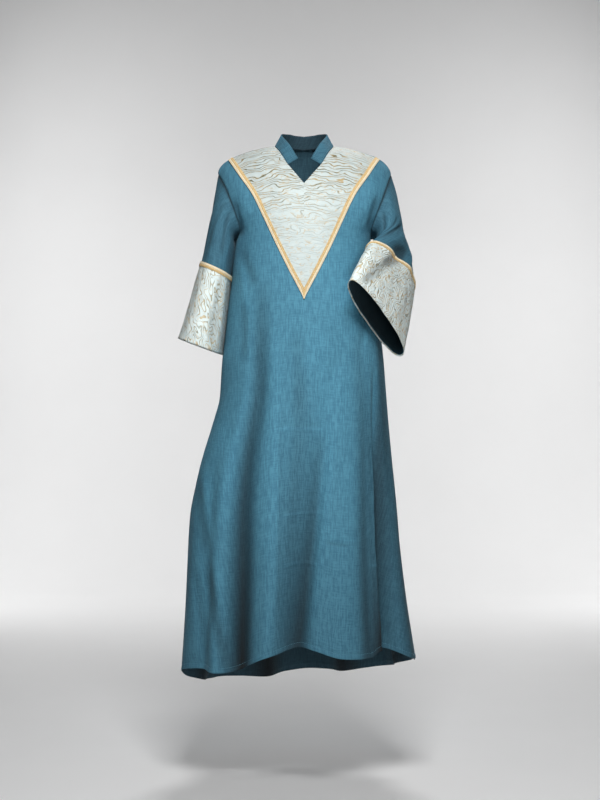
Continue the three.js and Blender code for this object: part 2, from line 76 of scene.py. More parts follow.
# Above it: row, y and z of the middle line, half widths right and left, y and z of the side, wrap angle.
frontTop = (
    (0.743, -145, -317, 177, 176, 6, -313, 90),
    (0.8, -141, -243, 165, 168, 5, -235, 90),
    (0.84, -133, -196, 163, 172, -30, -211, 80),
    (0.88, -121, -152, 172, 183, -47, -180, 72),
    (0.92, -106, -110, 184, 196, -50, -146, 70),
    (0.96, -85, -58, 199, 209, -37, -106, 76),
    (0.98, -50, -20, 208, 215, -20, -87, 84),
    (1, 0, 4, 217, 221, 0, -72, 90),
)
backTop = (
    (0.743, 116, -313, 177, 176, 6, -313, 90),
    (0.8, 115, -235, 165, 168, 5, -235, 90),
    (0.84, 115, -178, 165, 172, 36, -208, 80),
    (0.88, 110, -116, 175, 184, 49, -177, 74),
    (0.92, 90, -42, 187, 197, 50, -144, 72),
    (0.94, 67, 0, 193, 203, 45, -125, 75),
    (0.96, 44, 7, 200, 209, 36, -106, 79),
    (0.98, 22, 7, 208, 215, 20, -87, 84),
    (1, 0, 4, 217, 221, 0, -72, 90),
)

# Hem height across a panel, from -1 at the right side seam to 1 at the left one.
frontHem = ((-1, -1342), (-0.62, -1316), (-0.44, -1318), (-0.31, -1299), (-0.18, -1271), (0, -1251),
            (0.2, -1274), (0.35, -1280), (0.42, -1281), (0.48, -1264), (0.58, -1264), (0.68, -1286),
            (0.82, -1303), (1, -1306))
backHem = ((-1, -1342), (-0.7, -1382), (-0.4, -1392), (0, -1381), (0.3, -1373), (0.6, -1352), (1, -1306))

# Big folds: place across at the hem and at the top, top row, depth out at the hem, half widths.
frontFolds = (
    (-0.8, -0.75, 0.34, 7, 0.12, 0.12),
    (-0.62, -0.6, 0.4, -12, 0.12, 0.1),
    (-0.46, -0.52, 0.5, 16, 0.12, 0.12),
    (-0.36, -0.37, 0.68, -50, 0.14, 0.12),
    (-0.18, -0.2, 0.62, 14, 0.1, 0.12),
    (-0.03, 0.22, 0.56, -42, 0.2, 0.09),
    (0.2, 0.34, 0.5, 14, 0.16, 0.16),
    (0.41, 0.48, 0.5, -16, 0.1, 0.1),
    (0.55, 0.655, 0.56, -72, 0.08, 0.11),
    (0.72, 0.84, 0.46, 14, 0.1, 0.16),
)
backFolds = (
    (-0.72, -0.6, 0.5, -26, 0.14, 0.14),
    (-0.46, -0.4, 0.6, 22, 0.14, 0.14),
    (-0.22, -0.2, 0.68, -46, 0.15, 0.13),
    (0.02, 0, 0.62, 20, 0.14, 0.14),
    (0.27, 0.22, 0.66, -40, 0.14, 0.15),
    (0.5, 0.42, 0.56, 18, 0.13, 0.13),
    (0.74, 0.62, 0.48, -28, 0.13, 0.12),
)

# Bands of painted shade on the cloth: place across at the hem and at the top, top row, how dark, half
# widths.
frontShades = (
    (-0.375, -0.38, 0.72, 0.98, 0.1, 0.15),
    (-0.03, 0.12, 0.42, 0.74, 0.1, 0.07),
    (-0.09, -0.02, 0.54, 0.5, 0.1, 0.18),
    (0.4, 0.48, 0.62, 0.72, 0.13, 0.13),
    (0.48, 0.84, 0.7, 0.98, 0.09, 0.19),
    (0.8, 0.9, 0.8, 0.74, 0.26, 0.25),
    (-0.8, -0.9, 0.34, 0.25, 0.14, 0.25),
    (-0.98, -0.98, 0.84, 0.25, 0.1, 0.1),
)
backShades = (
    (-0.72, -0.6, 0.52, 0.66, 0.13, 0.15),
    (-0.22, -0.2, 0.7, 0.88, 0.14, 0.12),
    (0.27, 0.22, 0.68, 0.82, 0.12, 0.15),
    (0.74, 0.62, 0.5, 0.68, 0.14, 0.12),
    (-0.98, -0.98, 0.9, 0.3, 0.12, 0.12),
    (0.98, 0.98, 0.9, 0.3, 0.12, 0.12),
)

# Right side seam: how far the cloth swells towards the sleeve, row by row.
sideFullness = ((0.5, 0), (0.545, 4.6), (0.585, 6.2), (0.62, 5.0), (0.68, 4.2), (0.725, 3.0), (0.745, 4.2),
                (0.775, 5.2), (0.795, 4.2), (0.815, 0), (1, 0))

# Creases seen square on: x and z of both ends, half width, depth out.
frontCreases = (
    (-253, -818, -224, -1040, 8, 3.4),    # the gore's edge, low on the right
    (-224, -1030, -166, -1318, 8, 3.8),
    (-270, -830, -244, -1040, 14, -2.6),
    (-246, -1040, -190, -1318, 13, -2.8),
    (-262, -1020, -214, -1330, 6, 1.2),
    (-276, -1050, -236, -1330, 6, -1.2),
    (-284, -1080, -256, -1330, 7, 1.2),
    (-212, -700, -190, -960, 22, 2.6),
    (-118, -560, -126, -860, 9, 1.8),
    (-72, -480, -84, -1240, 13, 2.2),
    (-54, -640, -66, -1240, 8, -1.4),
    (-71, -720, 53, -722, 3.5, 1.7),      # press creases
    (-54, -932, -4, -924, 3.5, 2.0),
    (-4, -924, 46, -926, 3.5, 2.0),
    (-49, -1054, -8, -1044, 3.5, 2.0),
    (-8, -1044, 34, -1050, 3.5, 1.9),
    (46, -978, 136, -998, 4, 1.8),
    (48, -996, 112, -1006, 4, -1.4),
    (143, -1056, 238, -1056, 4, 1.2),
    (70, -745, 10, -1256, 7, 4.0),        # left edge of the broad fold
    (96, -560, 64, -760, 18, 2.0),
    (134, -560, 150, -1270, 12, 2.0),
    (162, -640, 176, -1270, 8, -2.6),
    (214, -760, 232, -1280, 12, 1.6),
    (30, -470, 34, -700, 20, 1.6),
    (-20, -470, -12, -700, 16, -1.2),
    (160, -262, 108, -350, 11, -2.6),     # pulls from the left underarm
    (164, -300, 128, -420, 9, 2.0),
    (166, -340, 142, -520, 9, -2.2),
    (150, -410, 156, -620, 10, 1.8),
    (-158, -262, -118, -370, 11, -2.2),   # pulls from the right underarm
    (-160, -300, -140, -440, 9, 2.0),
    (-150, -380, -150, -560, 10, -2.0),
    (-176, -140, -152, -236, 8, -3.0),
    (186, -130, 156, -226, 8, -3.2),
    (176, -90, 150, -176, 14, 1.8),
    (-164, -90, -142, -190, 14, 1.8),
)
backCreases = (
    (-150, -250, -70, -400, 15, -2.6),
    (152, -250, 66, -420, 15, -2.4),
    (-154, -300, -120, -520, 10, 2.2),
    (156, -290, 126, -540, 10, 2.0),
    (-100, -110, -70, -250, 18, 1.8),
    (98, -110, 70, -260, 18, 1.6),
    (-178, -160, -150, -236, 8, -2.6),
    (184, -150, 156, -230, 8, -2.8),
    (-60, -470, 50, -476, 20, -2.4),
    (-84, -550, 70, -558, 16, 1.8),
    (-30, -640, -36, -1040, 15, 2.2),
    (76, -650, 92, -1080, 16, -2.2),
    (-146, -620, -190, -1120, 14, -2.2),
    (150, -640, 190, -1140, 15, 2.0),
    (-70, -820, 0, -812, 3.5, 1.0),
    (0, -812, 62, -820, 3.5, 1.0),
    (-60, -1040, 70, -1038, 3.5, -0.9),
    (-230, -960, -262, -1330, 8, 1.6),
    (230, -980, 250, -1290, 9, -1.6),
)

neck = {"halfWidth": 75, "frontEndShare": 0.68, "yokeSetback": 0.004}
# Collar: place from the front end to the middle of the back, then the way from its base to its top.
collarLean = ((0, -25, 22, 19), (0.3, -19, 12, 29), (0.55, -13, 0, 34), (1, 0, -9, 36))
yokeEdge = ((-398, 0), (-329, 36), (-262, 68), (-198, 97), (-135, 127), (-80, 164), (-38, 191), (10, 226))

# Sleeve rings: place along, the ring's middle, the way to its outer side, the way to its fore side.
hangingRings = (
    (0, -191, 2, -153, -26, -2, 82, 0, -54, 0),
    (0.14, -204, 1, -188, -24, -1, 52, 0, -64, 0),
    (0.28, -209, 0, -229, -29, 0, 33, 0, -72, 0),
    (0.42, -217, -2, -275, -32, 0, 20, 0, -79, 0),
    (0.52, -224, -5, -315, -35, 0, 18, 0, -84, 0),
    (0.76, -244, -9, -414, -43, 0, 19, 0, -97, 0),
    (1, -264, -13, -513, -52, 0, 20, 0, -110, 0),
)
bentRings = (
    (0, 195, 2, -153, 26, -2, 82, 0, -54, 0),
    (0.14, 212, 2, -186, 27, 2, 50, -2, -63, 4),
    (0.28, 219, 0, -224, 32, 2, 26, -6, -68, 14),
    (0.42, 226, -12, -270, 30, -14, 21, -34, -70, 34),
    (0.52, 221, -32, -308, 19, -24, 18, -57, -70, 48),
    (0.76, 202, -82, -378, 18, -30, 18, -62, -83, 73),
    (1, 178, -143, -449, 12, -28, 16, -68, -84, 84),
)
sleeveShape = {"fade": 0.3, "squareness": 2.3, "cuffStart": 0.52, "braidEnd": 0.548, "clothEnd": 0.992,
               "innerReach": 42, "uneven": 0.6, "unevenLength": 60, "seamGroove": 0.8, "cuffRows": 46,
               "hemRoll": 0.5, "rollWidth": 4.0}

# Creases of the sleeves: place along and angle at both ends, half width, depth out. The angle is 0 at
# the fore side, 90 at the outer one, 180 at the back and -90 at the inner side.
hangingCreases = (
    (0.04, 22, 0.5, 48, 10, -1.6),
    (0.02, -8, 0.46, -14, 9, -2.4),
    (0.1, 62, 0.5, 84, 12, 1.4),
    (0.2, -40, 0.52, -34, 9, 2.0),
    (0.54, -22, 1.0, -30, 14, -2.6),
    (0.54, -46, 1.0, -58, 13, 2.2),
    (0.56, 8, 1.0, 4, 14, 2.0),
    (0.6, 44, 1.0, 52, 16, -1.6),
    (0.54, 120, 1.0, 118, 16, -2.4),
    (0.06, 150, 0.5, 168, 11, -2.0),
    (0.54, 205, 1.0, 212, 13, -3.0),
    (0.3, 100, 0.52, 130, 12, 1.6),
    (-0.1, -114, 1.1, -114, 15, 8.0),     # the cloth behind swells towards the body
    (0.16, -92, 0.5, -92, 14, 1.8),
)
bentCreases = (
    (0.06, -8, 0.36, -22, 9, -3.0),
    (0.16, 8, 0.4, -4, 10, 2.0),
    (0.3, 70, 0.47, 20, 9, -4.0),
    (0.36, 92, 0.5, 50, 9, 3.0),
    (0.24, 40, 0.42, 0, 9, -3.0),
    (0.44, 110, 0.5, 66, 8, -3.4),
    (0.44, 96, 0.7, 66, 11, -9.0),        # the fold where the forearm turns forward
    (0.42, 118, 0.6, 104, 13, 5.0),
    (0.66, 70, 0.98, 44, 15, -4.0),
    (0.56, 32, 0.96, 12, 16, 3.0),
    (0.6, 116, 0.98, 104, 14, 3.0),
    (0.3, 170, 0.44, 120, 10, -2.6),
    (0.54, 200, 0.98, 206, 15, -3.2),
    (0.6, 250, 0.98, 244, 13, 2.2),
    (0.05, 120, 0.3, 150, 11, -1.8),
    (0.06, -100, 0.44, -110, 15, 8.0),    # the cloth behind swells towards the body
)


# A table column read as a smooth curve without overshoot.
def smoothRead(places, values, at):
    places, values, at = (np.asarray(a, float) for a in (places, values, at))
    span = np.diff(places)
    slope = np.diff(values) / span
    product = slope[:-1] * slope[1:]
    total = np.where(product > 0, slope[:-1] + slope[1:], 1)
    inner = np.where(product > 0, 2 * product / total, 0)
    tangent = np.concatenate([slope[:1], inner, slope[-1:]])
    i = np.clip(np.searchsorted(places, at, side="right") - 1, 0, len(span) - 1)
    t = np.clip((at - places[i]) / span[i], 0, 1)
    level = values[i] + (values[i + 1] - values[i]) * t * t * (3 - 2 * t)
    return level + span[i] * t * (1 - t) * ((1 - t) * tangent[i] - t * tangent[i + 1])


def readColumns(table, at):
    columns = np.array(table, float).T
    return [smoothRead(columns[0], column, at) for column in columns[1:]]


def smoothStep(low, high, value):
    t = np.clip((value - low) / (high - low), 0, 1)
    return t * t * (3 - 2 * t)


def bell(away, width):
    return np.exp(-(away / width) ** 2)


def unit(vectors):
    return vectors / np.maximum(np.linalg.norm(vectors, axis=-1, keepdims=True), 1e-9)


def foldDepth(folds, across, row):
    total = np.zeros_like(across)
    for hem, top, ends, depth, before, after in folds:
        up = row / ends
        centre = hem + (top - hem) * up
        away = np.abs(across - centre) / np.where(across < centre, before, after)
        shape = (np.cos(np.pi * np.minimum(away, 1)) + 1) / 2
        total += np.where(up < 1, depth * (1 - up) * shape, 0)
    return total


def panelPoints(panel, across, row):
    across, row = np.broadcast_arrays(np.asarray(across, float), np.asarray(row, float))
    midY, midZ, right, left, sideY, sideZ, wrap = readColumns(panel["levels"], row)
    wrap = np.radians(wrap)
    turn = np.abs(across) * wrap
    width = np.where(across < 0, -right, left)
    bow = (1 - np.cos(turn)) / (1 - np.cos(wrap))
    x = width * np.sin(turn) / np.sin(wrap)
    y = midY + (sideY - midY) * bow
    z = midZ + (sideZ - midZ) * bow
    skirt = np.clip(1 - row / rowOf["underarm"], 0, 1)
    z = z + (readColumns(panel["hem"], across)[0] - panel["levels"][0][2]) * skirt
    depth = np.where(skirt > 0, midY - sideY, panel["facing"] * -100.0)
    out = unit(np.stack([np.sin(turn) / width, np.cos(turn) / depth, 0 * x], -1))
    fold = np.where(skirt > 0, foldDepth(panel["folds"], across, row), 0)
    return np.stack([x, y, z], -1) + out * fold[..., None]


def panelNormals(panel, across, row, step=0.002):
    def between(beside, above):
        ahead = panelPoints(panel, np.clip(across + beside, -1, 1), np.clip(row + above, 0, 1))
        return ahead - panelPoints(panel, np.clip(across - beside, -1, 1), np.clip(row - above, 0, 1))

    return unit(np.cross(between(step, 0), between(0, step))) * panel["facing"]


def neckShare(panel, row):
    atSeam = (2 / math.pi) * math.asin(neck["halfWidth"] / panel["levels"][-1][4])
    if panel["facing"] < 0:
        down = np.clip((1 - row) / (1 - rowOf["nape"]), 0, 1)
        return atSeam * np.sqrt(1 - down * down)
    atEnd = atSeam * neck["frontEndShare"]
    slit = atEnd * np.clip((row - rowOf["slit"]) / (rowOf["collarEnd"] - rowOf["slit"]), 0, 1)
    up = np.clip((row - rowOf["collarEnd"]) / (1 - rowOf["collarEnd"]), 0, 1)
    return slit + (atSeam - atEnd) * np.sin(up * math.pi / 2)


# A few long waves in random directions, the same on every run.
def softWaves(u, v, length, seed, count=10):
    chance = np.random.default_rng(seed)
    total = np.zeros_like(u)
    for _ in range(count):
        angle, phase = chance.uniform(0, 2 * math.pi, 2)
        size = length * chance.uniform(0.7, 1.6)
        total += np.cos((u * math.cos(angle) + v * math.sin(angle)) * 2 * math.pi / size + phase)
    return total / math.sqrt(count)


def creaseDepth(creases, u, v):
    total = np.zeros_like(u)
    for u0, v0, u1, v1, width, depth in creases:
        du, dv = u1 - u0, v1 - v0
        length = math.hypot(du, dv)
        along = ((u - u0) * du + (v - v0) * dv) / length ** 2
        off = ((u - u0) * dv - (v - v0) * du) / length
        ends = smoothStep(-0.06, 0.25, along) * (1 - smoothStep(0.75, 1.06, along))
        total += depth * bell(off, width) * ends
    return total


# The cloth's relief on a panel, in mm out: creases, a slight unevenness, a groove along each seam and a hem.
# Its places and widths are shares of a panel's half and rows. Near the edges the cloth lies calm.
panelStyle = {"uneven": 0.7, "unevenLength": 95, "seamGroove": 0.8, "seamWidth": 0.008, "hemRoll": 0.5,
              "rollRow": 0.0035, "rollWidth": 0.0035, "grooveRow": 0.0095, "grooveWidth": 0.0018,
              "calmSeam": 0.06, "calmNeck": 0.1, "calmHem": (-0.01, 0.04), "sideFrom": (0.68, 0.98)}


def panelRelief(panel, across, row, points):
    style = panelStyle
    x, z = points[..., 0], points[..., 2]
    inside = smoothStep(0, style["calmSeam"], 1 - np.abs(across)) * smoothStep(*style["calmHem"], row)
    byNeck = smoothStep(0, style["calmNeck"], np.abs(across) - neckShare(panel, row))
    inside = inside * np.where(row > 0.9, byNeck, 1)
    relief = creaseDepth(panel["creases"], x, z)
    relief += style["uneven"] * softWaves(x, z * 0.3, style["unevenLength"], panel["seed"])
    seam = -style["seamGroove"] * bell(1 - np.abs(across), style["seamWidth"])
    roll = bell(row - style["rollRow"], style["rollWidth"])
    roll -= bell(row - style["grooveRow"], style["grooveWidth"])
    fullness = readColumns(sideFullness, np.maximum(row, sideFullness[0][0]))[0]
    beside = fullness * smoothStep(*style["sideFrom"], -across)
    return relief * inside + seam + style["hemRoll"] * roll + beside


# Painted shade: how much of the light is lost down in folds and creases, towards the hem, along the armhole
# and over the upper body, kept as an attribute of the cloth that darkens its colour. The ridges of creases
# get a little painted light.
lightLoss = {"perCrease": 0.13, "creaseLimit": 0.5, "least": 0.35, "most": 1.1, "hem": 0.22, "hemEnd": 0.36,
             "armhole": 0.85, "armholeWidth": 0.032, "besideArmhole": 0.08, "besideWidth": 0.4,
             "armholeRows": (0.7, 0.83), "lightShoulder": 0.7, "shoulderRows": (0.93, 0.99),
             "upperBody": 0.17, "upperRows": (0.84, 0.96)}


# Painted shade: darker in creases and in the given bands, a little painted light on the ridges of creases.
def shadeFrom(bands, across, row, crease):
    light = 1 + lightLoss["perCrease"] * np.minimum(crease, lightLoss["creaseLimit"])
    light = np.clip(light, lightLoss["least"], lightLoss["most"])
    for hem, top, ends, dark, before, after in bands:
        up = np.minimum(row / ends, 1)
        centre = hem + (top - hem) * up
        away = np.minimum(np.abs(across - centre) / np.where(across < centre, before, after), 1)
        light = light * (1 - dark * np.sqrt(1 - up) * smoothStep(0, 1, 1 - away))
    return light


# Painted shade in the valley along the armhole seam, less of it near the shoulder, and over the upper body.
def seamLight(across, row):
    gap = 1 - np.abs(across)
    beside = lightLoss["armhole"] * bell(gap, lightLoss["armholeWidth"])
    beside += lightLoss["besideArmhole"] * bell(gap, lightLoss["besideWidth"])
    shoulder = 1 - lightLoss["lightShoulder"] * smoothStep(*lightLoss["shoulderRows"], row)
    light = 1 - beside * smoothStep(*lightLoss["armholeRows"], row) * shoulder
    return light * (1 - lightLoss["upperBody"] * smoothStep(*lightLoss["upperRows"], row))


frontLevels = [(row, front, z, right, left, skirtSeamY, z, 90)
               for row, z, front, back, right, left in skirtLevels] + list(frontTop)
backLevels = [(row, back, z, right, left, skirtSeamY, z, 90)
              for row, z, front, back, right, left in skirtLevels] + list(backTop)
frontPanel = {"levels": frontLevels, "hem": frontHem, "folds": frontFolds, "creases": frontCreases,
              "shades": frontShades, "facing": 1, "seed": 3}
backPanel = {"levels": backLevels, "hem": backHem, "folds": backFolds, "creases": backCreases,
             "shades": backShades, "facing": -1, "seed": 8}

# Rows and columns: closer together along the hem, at the press creases and round the neck.
meshing = {"skirtRows": 100, "upperRows": 36, "neckRows": 16, "columns": 64, "hemStitches": 0.0092,
           "hemRows": (0, 0.0015, 0.003, 0.0045, 0.006, 0.0075, 0.009, 0.0105, 0.0125),
           "pressRows": (0.161, 0.2075, 0.256, 0.42), "pressReach": 0.012, "threadSteps": 81,
           "panelLength": 1310}


def bodyRows():
    skirt = np.linspace(0.015, rowOf["underarm"], meshing["skirtRows"])
    reach = meshing["pressReach"]
    press = [at + np.linspace(-reach, reach, 11) for at in meshing["pressRows"]]
    upper = np.linspace(rowOf["underarm"], 1, meshing["upperRows"])
    turn = np.linspace(0, 1, meshing["neckRows"])
    neckCurve = 1 - (1 - rowOf["nape"]) * np.sqrt(1 - turn ** 2)
    fixed = [rowOf[name] for name in ("underarm", "slit", "nape", "collarEnd")]
    found = np.concatenate([meshing["hemRows"], skirt, *press, upper, neckCurve, fixed, [rowOf["yokeTop"]]])
    found = np.unique(np.round(found, 5))
    far = np.concatenate([[True], np.diff(found) > 0.0011])
    return found[far | np.isin(found, np.round(fixed, 5)) | (found == 1)]


rows = bodyRows()
shares = np.concatenate([np.linspace(0, 0.97, meshing["columns"] - 4), [0.979, 0.987, 0.994, 1]])

print("rows of the body:", len(rows), "columns:", 2 * len(shares))


# A sheet is a list of grids, rows from the hem up. Each grid has its points, outward directions,
# thread coordinates in mm and relief. Grids of one sheet are welded where they meet.
def threads(points, startAt=0.0):
    across = np.linalg.norm(np.diff(points, axis=1), axis=-1)
    u = np.concatenate([np.zeros((len(points), 1)), np.cumsum(across, 1)], 1)
    up = np.linalg.norm(np.diff(points, axis=0), axis=-1).mean(1)
    v = startAt + np.concatenate([[0], np.cumsum(up)])
    return np.stack([u, np.broadcast_to(v[:, None], u.shape)], -1)


def panelGrid(panel, side, rowsUsed, share):
    across = side * share
    row = np.broadcast_to(rowsUsed[:, None], across.shape)
    points = panelPoints(panel, across, row)
    steps = np.linspace(0, 1, meshing["threadSteps"])
    whole = threads(panelPoints(panel, side * steps[None], rowsUsed[:, None]))
    u = np.array([np.interp(share[i], steps, whole[i, :, 0]) for i in range(len(rowsUsed))])
    v = np.broadcast_to(whole[:, :1, 1], u.shape) + rowsUsed[0] * meshing["panelLength"]
    crease = creaseDepth(panel["creases"], points[..., 0], points[..., 2])
    # Painted shade along the armhole, over the upper body, towards the hem and in the creases and bands.
    hemLight = 1 - lightLoss["hem"] * (1 - smoothStep(0, lightLoss["hemEnd"], row))
    return {"points": points, "normals": panelNormals(panel, across, row),
            "cloth": np.stack([side * u, v], -1), "flip": side * panel["facing"] < 0,
            "relief": panelRelief(panel, across, row, points),
            "shade": seamLight(across, row) * hemLight * shadeFrom(panel["shades"], across, row, crease)}


def bodyGrid(panel, side):
    start = neckShare(panel, rows)[:, None]
    return panelGrid(panel, side, rows, start + (1 - start) * shares[None])


# Normals that face away from the middle of each row, and whether the faces have to be turned for that.
def outwardNormals(points, closed):
    side = np.roll(points, -1, 1) - np.roll(points, 1, 1) if closed else np.gradient(points, axis=1)
    normals = unit(np.cross(side, np.gradient(points, axis=0)))
    away = points - points.mean(1, keepdims=True)
    flip = (normals[..., :2] * away[..., :2]).sum() < 0
    return (-normals if flip else normals), flip


# Points in the same small cell count as one. The odd offset keeps seams off the borders of the cells.
def cellOf(points, perMillimetre):
    return np.round(points * perMillimetre + 0.217).astype(int)


def keyOf(point):
    return tuple(cellOf(point, 50))


def halfway(normals):
    if len(normals) == 3:
        a, b, c = normals
        first, second, other = max([(a, b, c), (a, c, b), (b, c, a)], key=lambda pair: pair[0] @ pair[1])
        return halfway([unit(first + second), other])
    return unit(sum(normals))


def borderOf(grid):
    count = grid["points"].shape[:2]
    edge = np.zeros(count, bool)
    edge[0] = edge[-1] = True
    if not grid.get("closed"):
        edge[:, 0] = edge[:, -1] = True
    return edge


# Where sheets meet, they take the same outward direction, so that their faces meet in a mitre.
def joinSheets(sheets):
    shared = {}
    for sheet in sheets:
        own = {}
        for grid in sheet:
            for i, j in zip(*np.nonzero(borderOf(grid))):
                own.setdefault(keyOf(grid["points"][i, j]), []).append(grid["normals"][i, j])
        for key, normals in own.items():
            shared.setdefault(key, []).append(unit(sum(normals)))
    for sheet in sheets:
        for grid in sheet:
            grid["out"] = grid["normals"].copy()
            for i, j in zip(*np.nonzero(borderOf(grid))):
                both = halfway(shared[keyOf(grid["points"][i, j])])
                stretch = min(1.5, 1 / max(both @ grid["normals"][i, j], 0.1))
                grid["out"][i, j] = both * stretch


def armhole(side):
    up = rows[rows >= rowOf["underarm"]]
    front = panelPoints(frontPanel, side, up)
    back = panelPoints(backPanel, side, up[1:-1][::-1])
    loop = np.concatenate([front, back])
    reach = np.concatenate([[0], np.cumsum(np.linalg.norm(np.roll(loop, -1, 0) - loop, axis=1))])
    top = len(front) - 1
    angles = np.where(np.arange(len(loop)) <= top, -0.5 + reach[:-1] / reach[top],
                      0.5 + (reach[:-1] - reach[top]) / (reach[-1] - reach[top]))
    return loop, angles * math.pi


def ringPoints(rings, at, angle):
    values = np.stack(readColumns(rings, at), -1)

    def bulge(value):
        return (np.sign(value) * np.abs(value) ** (2 / sleeveShape["squareness"]))[..., None]

    middle, outer, fore = (values[..., k:k + 3] for k in (0, 3, 6))
    return middle + outer * bulge(np.sin(angle)) + fore * bulge(np.cos(angle))


def sleeveGrid(arm, places, hemRoll=0.0):
    loop, angles = armhole(arm["side"])
    length = arm["length"]
    at, angle = np.broadcast_arrays(places[:, None], angles[None])
    fade = 1 - smoothStep(0, sleeveShape["fade"], at)
    start = loop - ringPoints(arm["rings"], 0 * angles, angles)
    points = ringPoints(arm["rings"], at, angle) + start[None] * fade[..., None]
    normals, flip = outwardNormals(points, True)
    around = np.linalg.norm(points - np.roll(points, -1, 1), axis=-1)
    u = np.concatenate([np.zeros((len(places), 1)), np.cumsum(around, 1)], 1)
    cloth = np.stack([u, np.broadcast_to(places[:, None] * -length, u.shape)], -1)
    radius = around.sum(1).mean() / (2 * math.pi)
    relief = np.zeros_like(at)
    for turn in (-360, 0, 360):
        moved = [(at0 * length, math.radians(angle0 + turn) * radius, at1 * length,
                  math.radians(angle1 + turn) * radius, width, depth)
                 for at0, angle0, at1, angle1, width, depth in arm["creases"]]
        relief += creaseDepth(moved, at * length, angle * radius)
    # Painted shade in the creases and on the sleeve's inner side, which faces away from the light.
    inner = bell(np.degrees(angle) % 360 - 270, sleeveShape["innerReach"])
    shade = shadeFrom((), angle, at, relief) * (1 - arm["innerShade"] * inner)
    x, y, z = (points[..., k] for k in range(3))
    relief += sleeveShape["uneven"] * softWaves(x + y, z * 0.5, sleeveShape["unevenLength"], arm["seed"])
    relief = relief * smoothStep(0, 0.08, at) - sleeveShape["seamGroove"] * bell(at * length, 2.2)
    relief += hemRoll * bell(at * length - length, sleeveShape["rollWidth"])
    return {"points": points, "normals": normals, "cloth": cloth, "relief": relief, "closed": True,
            "flip": flip, "shade": shade}


arms = {
    "right": {"side": -1, "rings": hangingRings, "creases": hangingCreases, "length": 385, "seed": 21,
              "innerShade": 0.55},
    "left": {"side": 1, "rings": bentRings, "creases": bentCreases, "length": 385, "seed": 27,
             "innerShade": 0.3},
}


def neckline():
    up = rows[rows >= rowOf["collarEnd"]]
    down = rows[(rows >= rowOf["nape"]) & (rows < 1)][::-1]
    right, left = (np.concatenate([panelPoints(frontPanel, side * neckShare(frontPanel, up), up),
                                   panelPoints(backPanel, side * neckShare(backPanel, down), down)])
                   for side in (-1, 1))
    return np.concatenate([right, left[::-1][1:]])


collarStyle = {"rows": 9, "height": 36, "uneven": 0.35, "unevenLength": 40, "edgeRoll": 0.5,
               "baseGroove": 0.7, "shade": 0.56, "baseShade": 0.35}


def collarGrid():
    base = neckline()
    middle = (len(base) - 1) / 2
    steps = np.arange(len(base)) - middle
    lean = np.stack(readColumns(collarLean, 1 - np.abs(steps) / middle), -1)
    lean[:, 0] *= np.sign(steps)
    up = np.linspace(0, 1, collarStyle["rows"])[:, None]
    points = base[None] + lean[None] * up[..., None]
    normals, flip = outwardNormals(points, False)
    wave = softWaves(points[..., 0] * 2, points[..., 2] + points[..., 1], collarStyle["unevenLength"], 5)
    relief = collarStyle["uneven"] * wave * up + collarStyle["edgeRoll"] * (up > 0.9)
    relief -= collarStyle["baseGroove"] * bell(up * collarStyle["height"], 2.0)
    # Painted shade: the collar darker all over, and darker still at its base.
    shade = collarStyle["shade"] * (1 - collarStyle["baseShade"] * bell(up, 0.12))
    return {"points": points, "normals": normals, "cloth": threads(points), "relief": relief, "flip": flip,
            "shade": np.broadcast_to(shade, relief.shape)}


# Share of a row at which the yoke ends, found by halving.
def yokeShare(row, side):
    inside, outside = np.zeros_like(row), np.ones_like(row)
    for _ in range(26):
        middle = (inside + outside) / 2
        point = panelPoints(frontPanel, side * middle, row)
        within = np.abs(point[..., 0]) < readColumns(yokeEdge, point[..., 2])[0]
        inside, outside = np.where(within, middle, inside), np.where(within, outside, middle)
    return np.where(row <= rowOf["yokeTip"], 0, inside)


# "blunt" cuts the tip off, where both sides run into each other, by this share of the rows.
yokeStyle = {"columns": 40, "rows": 64, "blunt": 0.0063, "shade": 0.83, "shoulderShade": 0.12}
braidStyle = {"width": 12, "columns": 7, "roundness": 0.25, "lowRows": 150, "topRows": 40, "topStart": 0.93,
              "blunt": 0.0035}


def yokeRows():
    upper = rows[(rows > rowOf["slit"]) & (rows < rowOf["yokeTop"])]
    low = np.linspace(rowOf["yokeTip"] + yokeStyle["blunt"], rowOf["slit"], yokeStyle["rows"])
    return np.concatenate([low, upper, [rowOf["yokeTop"]]])


def yokeGrid(side):
    at = yokeRows()
    edge = yokeShare(at, side)
    setback = neck["yokeSetback"] * (at > rowOf["collarEnd"])
    start = np.where(at > rowOf["slit"], neckShare(frontPanel, at) + setback, 0)
    t = np.linspace(0, 1, yokeStyle["columns"])
    wide = np.maximum(edge, start) - start
    grid = panelGrid(frontPanel, side, at, start[:, None] + wide[:, None] * t[None])
    grid["out"] = grid["normals"]
    # Painted shade: the yoke a little darker all over, and darker still towards the shoulders.
    darker = yokeStyle["shoulderShade"] * smoothStep(0.88, 0.99, at)
    grid["shade"] = np.broadcast_to((yokeStyle["shade"] - darker)[:, None], grid["relief"].shape)
    return grid


# The braid follows the yoke's edge: a strip with its own two edges and a mitre at the tip.
def yokeBraidGrid(side):
    low = np.linspace(rowOf["yokeTip"] + braidStyle["blunt"], braidStyle["topStart"], braidStyle["lowRows"])
    top = np.linspace(braidStyle["topStart"] + 0.002, rowOf["yokeTop"], braidStyle["topRows"])
    at = np.concatenate([low, top])
    edge = yokeShare(at, side)
    line = panelPoints(frontPanel, side * edge, at)
    inner = yokeInner(line, at, edge, side)
    t = np.linspace(0, 1, braidStyle["columns"])
    share = np.maximum(inner[:, None] + (edge - inner)[:, None] * t[None], 0)
    row = np.broadcast_to(at[:, None], share.shape)
    points = panelPoints(frontPanel, side * share, row)
    along = np.concatenate([[0], np.cumsum(np.linalg.norm(np.diff(line, axis=0), axis=1))])
    cloth = np.stack(np.broadcast_arrays((t - 0.5)[None] * braidStyle["width"], along[:, None]), -1)
    normals = panelNormals(frontPanel, side * share, row)
    relief = panelRelief(frontPanel, side * share, row, points)
    relief += braidStyle["roundness"] * np.cos((t - 0.5) * math.pi)[None]
    return {"points": points, "normals": normals, "out": normals, "cloth": cloth, "relief": relief,
            "flip": side < 0}


